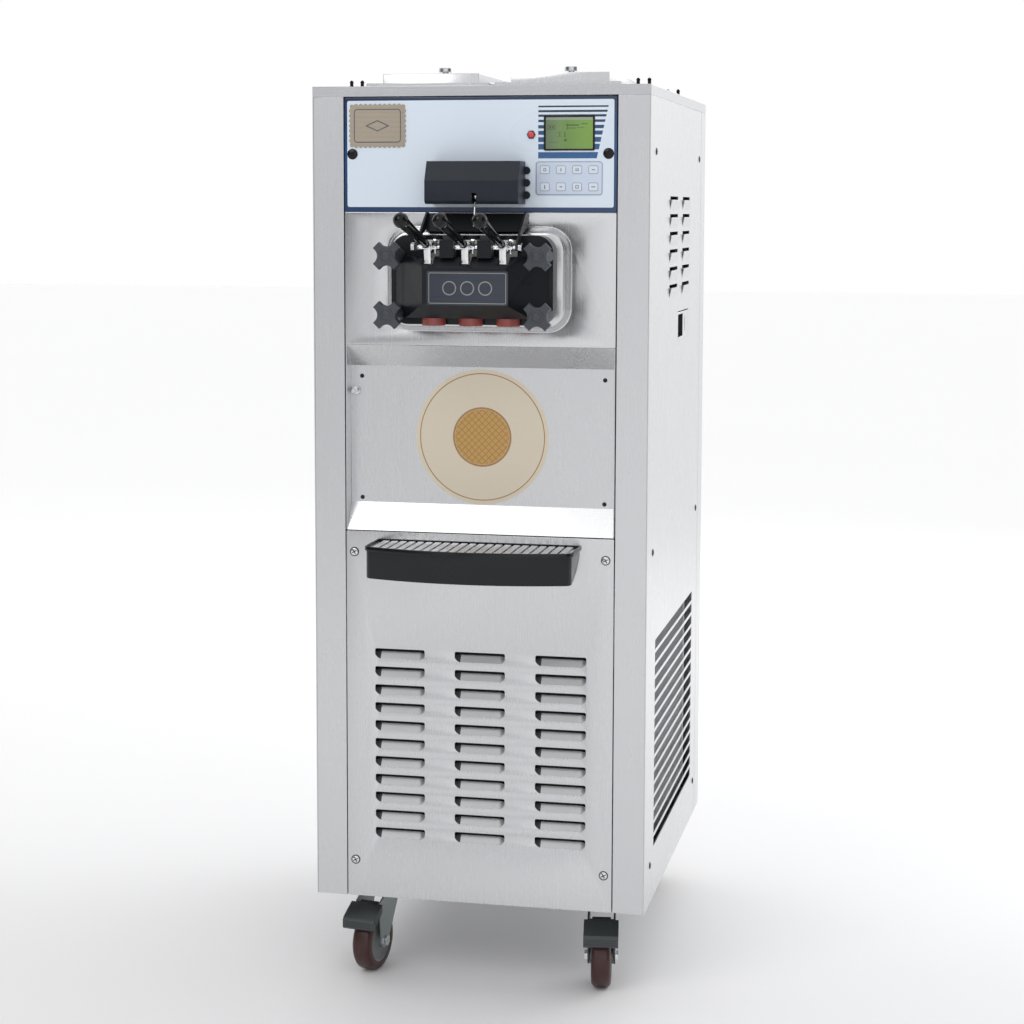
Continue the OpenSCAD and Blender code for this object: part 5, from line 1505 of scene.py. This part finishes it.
def build_stage():
    floor_material = material("pale_floor", pale_floor)
    mesh = bpy.data.meshes.new("studio_floor")
    sweep = bmesh.new()
    bmesh.ops.create_grid(sweep, x_segments=24, y_segments=24, size=30.0)
    sweep.to_mesh(mesh)
    sweep.free()
    mesh.materials.append(floor_material)
    floor = bpy.data.objects.new("studio_floor", mesh)
    bpy.context.scene.collection.objects.link(floor)
    for name, place, aim, size, power, tint in (
            ("key_light", (-1.6, -3.4, 3.6), (0.0, 0.0, 0.9), 2.6, 40.0, (1.0, 0.99, 0.98)),
            ("side_light", (2.6, 2.4, 2.4), (0.2, 0.2, 0.8), 2.2, 26.0, (0.97, 0.985, 1.0)),
            ("low_fill", (0.4, -4.2, 0.9), (0.0, 0.0, 0.5), 2.4, 4.0, (1.0, 1.0, 1.0)),
            ("back_light", (0.6, 3.4, 3.0), (0.0, 0.2, 1.0), 2.4, 20.0, (1.0, 1.0, 1.0))):
        light = bpy.data.lights.new(name, "AREA")
        light.shape, light.size, light.energy, light.color = "SQUARE", size, power, tint
        lamp = bpy.data.objects.new(name, light)
        lamp.location = place
        lamp.rotation_euler = (Vector(aim) - Vector(place)).to_track_quat("-Z", "Y").to_euler()
        bpy.context.scene.collection.objects.link(lamp)
    world = bpy.data.worlds.new("studio")
    world.use_nodes = True
    world.node_tree.nodes.clear()
    net = Net(world.node_tree)
    across, ahead, _ = net.parts(net.node("ShaderNodeTexCoord", output="Generated"))
    room = net.ramp(across * 0.5 + 0.5, [
        (0.0, (0.05, 0.05, 0.055)), (0.20, (0.16, 0.165, 0.18)), (0.33, (0.95, 0.95, 0.96)),
        (0.40, (0.46, 0.465, 0.48)), (0.52, (0.80, 0.80, 0.81)), (0.78, (1.0, 1.0, 1.0)),
        (0.88, (0.10, 0.10, 0.11))])
    backdrop = ((ahead * 3.0 + 0.4) | 0.0) & 1.0
    glow = net.node("ShaderNodeBackground", inputs={
        "Color": net.mix(backdrop, room, (1.0, 1.0, 1.0)), "Strength": 1.0})
    net.node("ShaderNodeOutputWorld", inputs={"Surface": glow})
    bpy.context.scene.world = world
    bpy.context.scene.view_settings.view_transform = "Standard"
    camera = bpy.data.cameras.new("front_camera")
    camera.lens, camera.sensor_width = 76.155, 36.0
    camera.shift_y = -0.078125
    camera.clip_end = 100.0
    holder = bpy.data.objects.new("front_camera", camera)
    yaw, pitch, roll = (math.radians(a) for a in (12.035, 5.862, 0.156))
    ahead = Vector((-math.sin(yaw) * math.cos(pitch), math.cos(yaw) * math.cos(pitch), -math.sin(pitch)))
    right = Vector((math.cos(yaw), math.sin(yaw), 0.0))
    over = right.cross(ahead)
    tilted = right * math.cos(roll) + over * math.sin(roll)
    upright = over * math.cos(roll) - right * math.sin(roll)
    turned = Matrix((tilted, upright, -ahead)).transposed().to_4x4()
    holder.matrix_world = Matrix.Translation(at(760.3, 3313.9, BASE + 1114.2) * MM) @ turned
    bpy.context.scene.collection.objects.link(holder)
    bpy.context.scene.camera = holder


# ---- operators ----


class SOFTSERVE_OT_finishes(bpy.types.Operator):
    """Make the finishes and the trees that repeat small pieces"""

    bl_idname = "softserve.finishes"
    bl_label = "Finishes"

    def execute(self, context):
        make_finishes(context.scene.soft_serve_colours)
        TREES.update({"rows": rows_tree(), "places": places_tree(), "bars": bars_tree(),
                      "spring": spring_tree()})
        return {"FINISHED"}


class SOFTSERVE_OT_cabinet(bpy.types.Operator):
    """Posts, base, top cover and cable gland"""

    bl_idname = "softserve.cabinet"
    bl_label = "Cabinet"

    def execute(self, context):
        build_cabinet(context.scene.soft_serve_sizes)
        return {"FINISHED"}


class SOFTSERVE_OT_front_panels(bpy.types.Operator):
    """Louvred lower panel, splash recess and the raised surround of the head"""

    bl_idname = "softserve.front_panels"
    bl_label = "Front panels"

    def execute(self, context):
        build_lower_panel(context.scene.soft_serve_sizes)
        build_splash()
        build_upper_panel()
        return {"FINISHED"}


class SOFTSERVE_OT_controls(bpy.types.Operator):
    """Fascia, badge, display, keypad, lamp, switch box and push rod"""

    bl_idname = "softserve.controls"
    bl_label = "Controls"

    def execute(self, context):
        build_fascia()
        build_display()
        build_keypad()
        build_lamp()
        build_switch_box()
        return {"FINISHED"}


class SOFTSERVE_OT_head(bpy.types.Operator):
    """Dispensing head, label, plungers, nozzle caps, studs and draw plate"""

    bl_idname = "softserve.head"
    bl_label = "Dispensing head"

    def execute(self, context):
        build_head()
        return {"FINISHED"}


class SOFTSERVE_OT_handles(bpy.types.Operator):
    """Three draw levers with black grips and adjusting springs"""

    bl_idname = "softserve.handles"
    bl_label = "Draw handles"

    def execute(self, context):
        build_handles()
        return {"FINISHED"}


class SOFTSERVE_OT_knobs(bpy.types.Operator):
    """Four star knobs that hold the head"""

    bl_idname = "softserve.knobs"
    bl_label = "Star knobs"

    def execute(self, context):
        build_knobs()
        return {"FINISHED"}


class SOFTSERVE_OT_fasteners(bpy.types.Operator):
    """Screws, fascia caps, holder stud and top pegs"""

    bl_idname = "softserve.fasteners"
    bl_label = "Screws and pegs"

    def execute(self, context):
        build_fasteners()
        return {"FINISHED"}


class SOFTSERVE_OT_tray(bpy.types.Operator):
    """Drip tray, slatted grid and leak drawer"""

    bl_idname = "softserve.tray"
    bl_label = "Tray and drawer"

    def execute(self, context):
        build_tray(context.scene.soft_serve_sizes)
        build_drawer()
        return {"FINISHED"}


class SOFTSERVE_OT_lids(bpy.types.Operator):
    """Hopper lids and hoppers"""

    bl_idname = "softserve.lids"
    bl_label = "Hoppers and lids"

    def execute(self, context):
        build_lids()
        return {"FINISHED"}


class SOFTSERVE_OT_casters(bpy.types.Operator):
    """Forks, wheels, plates and brake pedals"""

    bl_idname = "softserve.casters"
    bl_label = "Casters"

    def execute(self, context):
        build_casters()
        return {"FINISHED"}


class SOFTSERVE_OT_inside(bpy.types.Operator):
    """Condenser with its fins, compressor, fan, barrels and drives"""

    bl_idname = "softserve.inside"
    bl_label = "Inside"

    def execute(self, context):
        build_inside(context.scene.soft_serve_sizes)
        return {"FINISHED"}


class SOFTSERVE_OT_stage(bpy.types.Operator):
    """Floor, lights and camera"""

    bl_idname = "softserve.stage"
    bl_label = "Stage"

    def execute(self, context):
        build_stage()
        return {"FINISHED"}


STEPS = ["finishes", "cabinet", "front_panels", "controls", "head", "handles", "knobs", "fasteners",
         "tray", "lids",
         "casters", "inside", "stage"]


class SOFTSERVE_PT_panel(bpy.types.Panel):
    """Lists the machine's pieces and their sizes"""

    bl_idname = "SOFTSERVE_PT_panel"
    bl_label = "Soft-serve ice cream maker"
    bl_space_type = "VIEW_3D"
    bl_region_type = "UI"
    bl_category = "Soft serve"

    def draw(self, context):
        for group in (context.scene.soft_serve_sizes, context.scene.soft_serve_colours):
            for name in group.__annotations__:
                self.layout.prop(group, name)
        for step in STEPS:
            self.layout.operator("softserve." + step)


CLASSES = [
    SoftServeColours, SoftServeSizes, SOFTSERVE_OT_finishes, SOFTSERVE_OT_cabinet,
    SOFTSERVE_OT_front_panels,
    SOFTSERVE_OT_controls, SOFTSERVE_OT_head, SOFTSERVE_OT_handles, SOFTSERVE_OT_knobs,
    SOFTSERVE_OT_fasteners,
    SOFTSERVE_OT_tray, SOFTSERVE_OT_lids, SOFTSERVE_OT_casters, SOFTSERVE_OT_inside, SOFTSERVE_OT_stage,
    SOFTSERVE_PT_panel,
]


def register():
    for kind in CLASSES:
        bpy.utils.register_class(kind)
    bpy.types.Scene.soft_serve_sizes = PointerProperty(type=SoftServeSizes)
    bpy.types.Scene.soft_serve_colours = PointerProperty(type=SoftServeColours)


def unregister():
    del bpy.types.Scene.soft_serve_colours
    del bpy.types.Scene.soft_serve_sizes
    for kind in reversed(CLASSES):
        bpy.utils.unregister_class(kind)


def main():
    register()
    for step in STEPS:
        getattr(bpy.ops.softserve, step)()


if __name__ == "__main__":
    main()
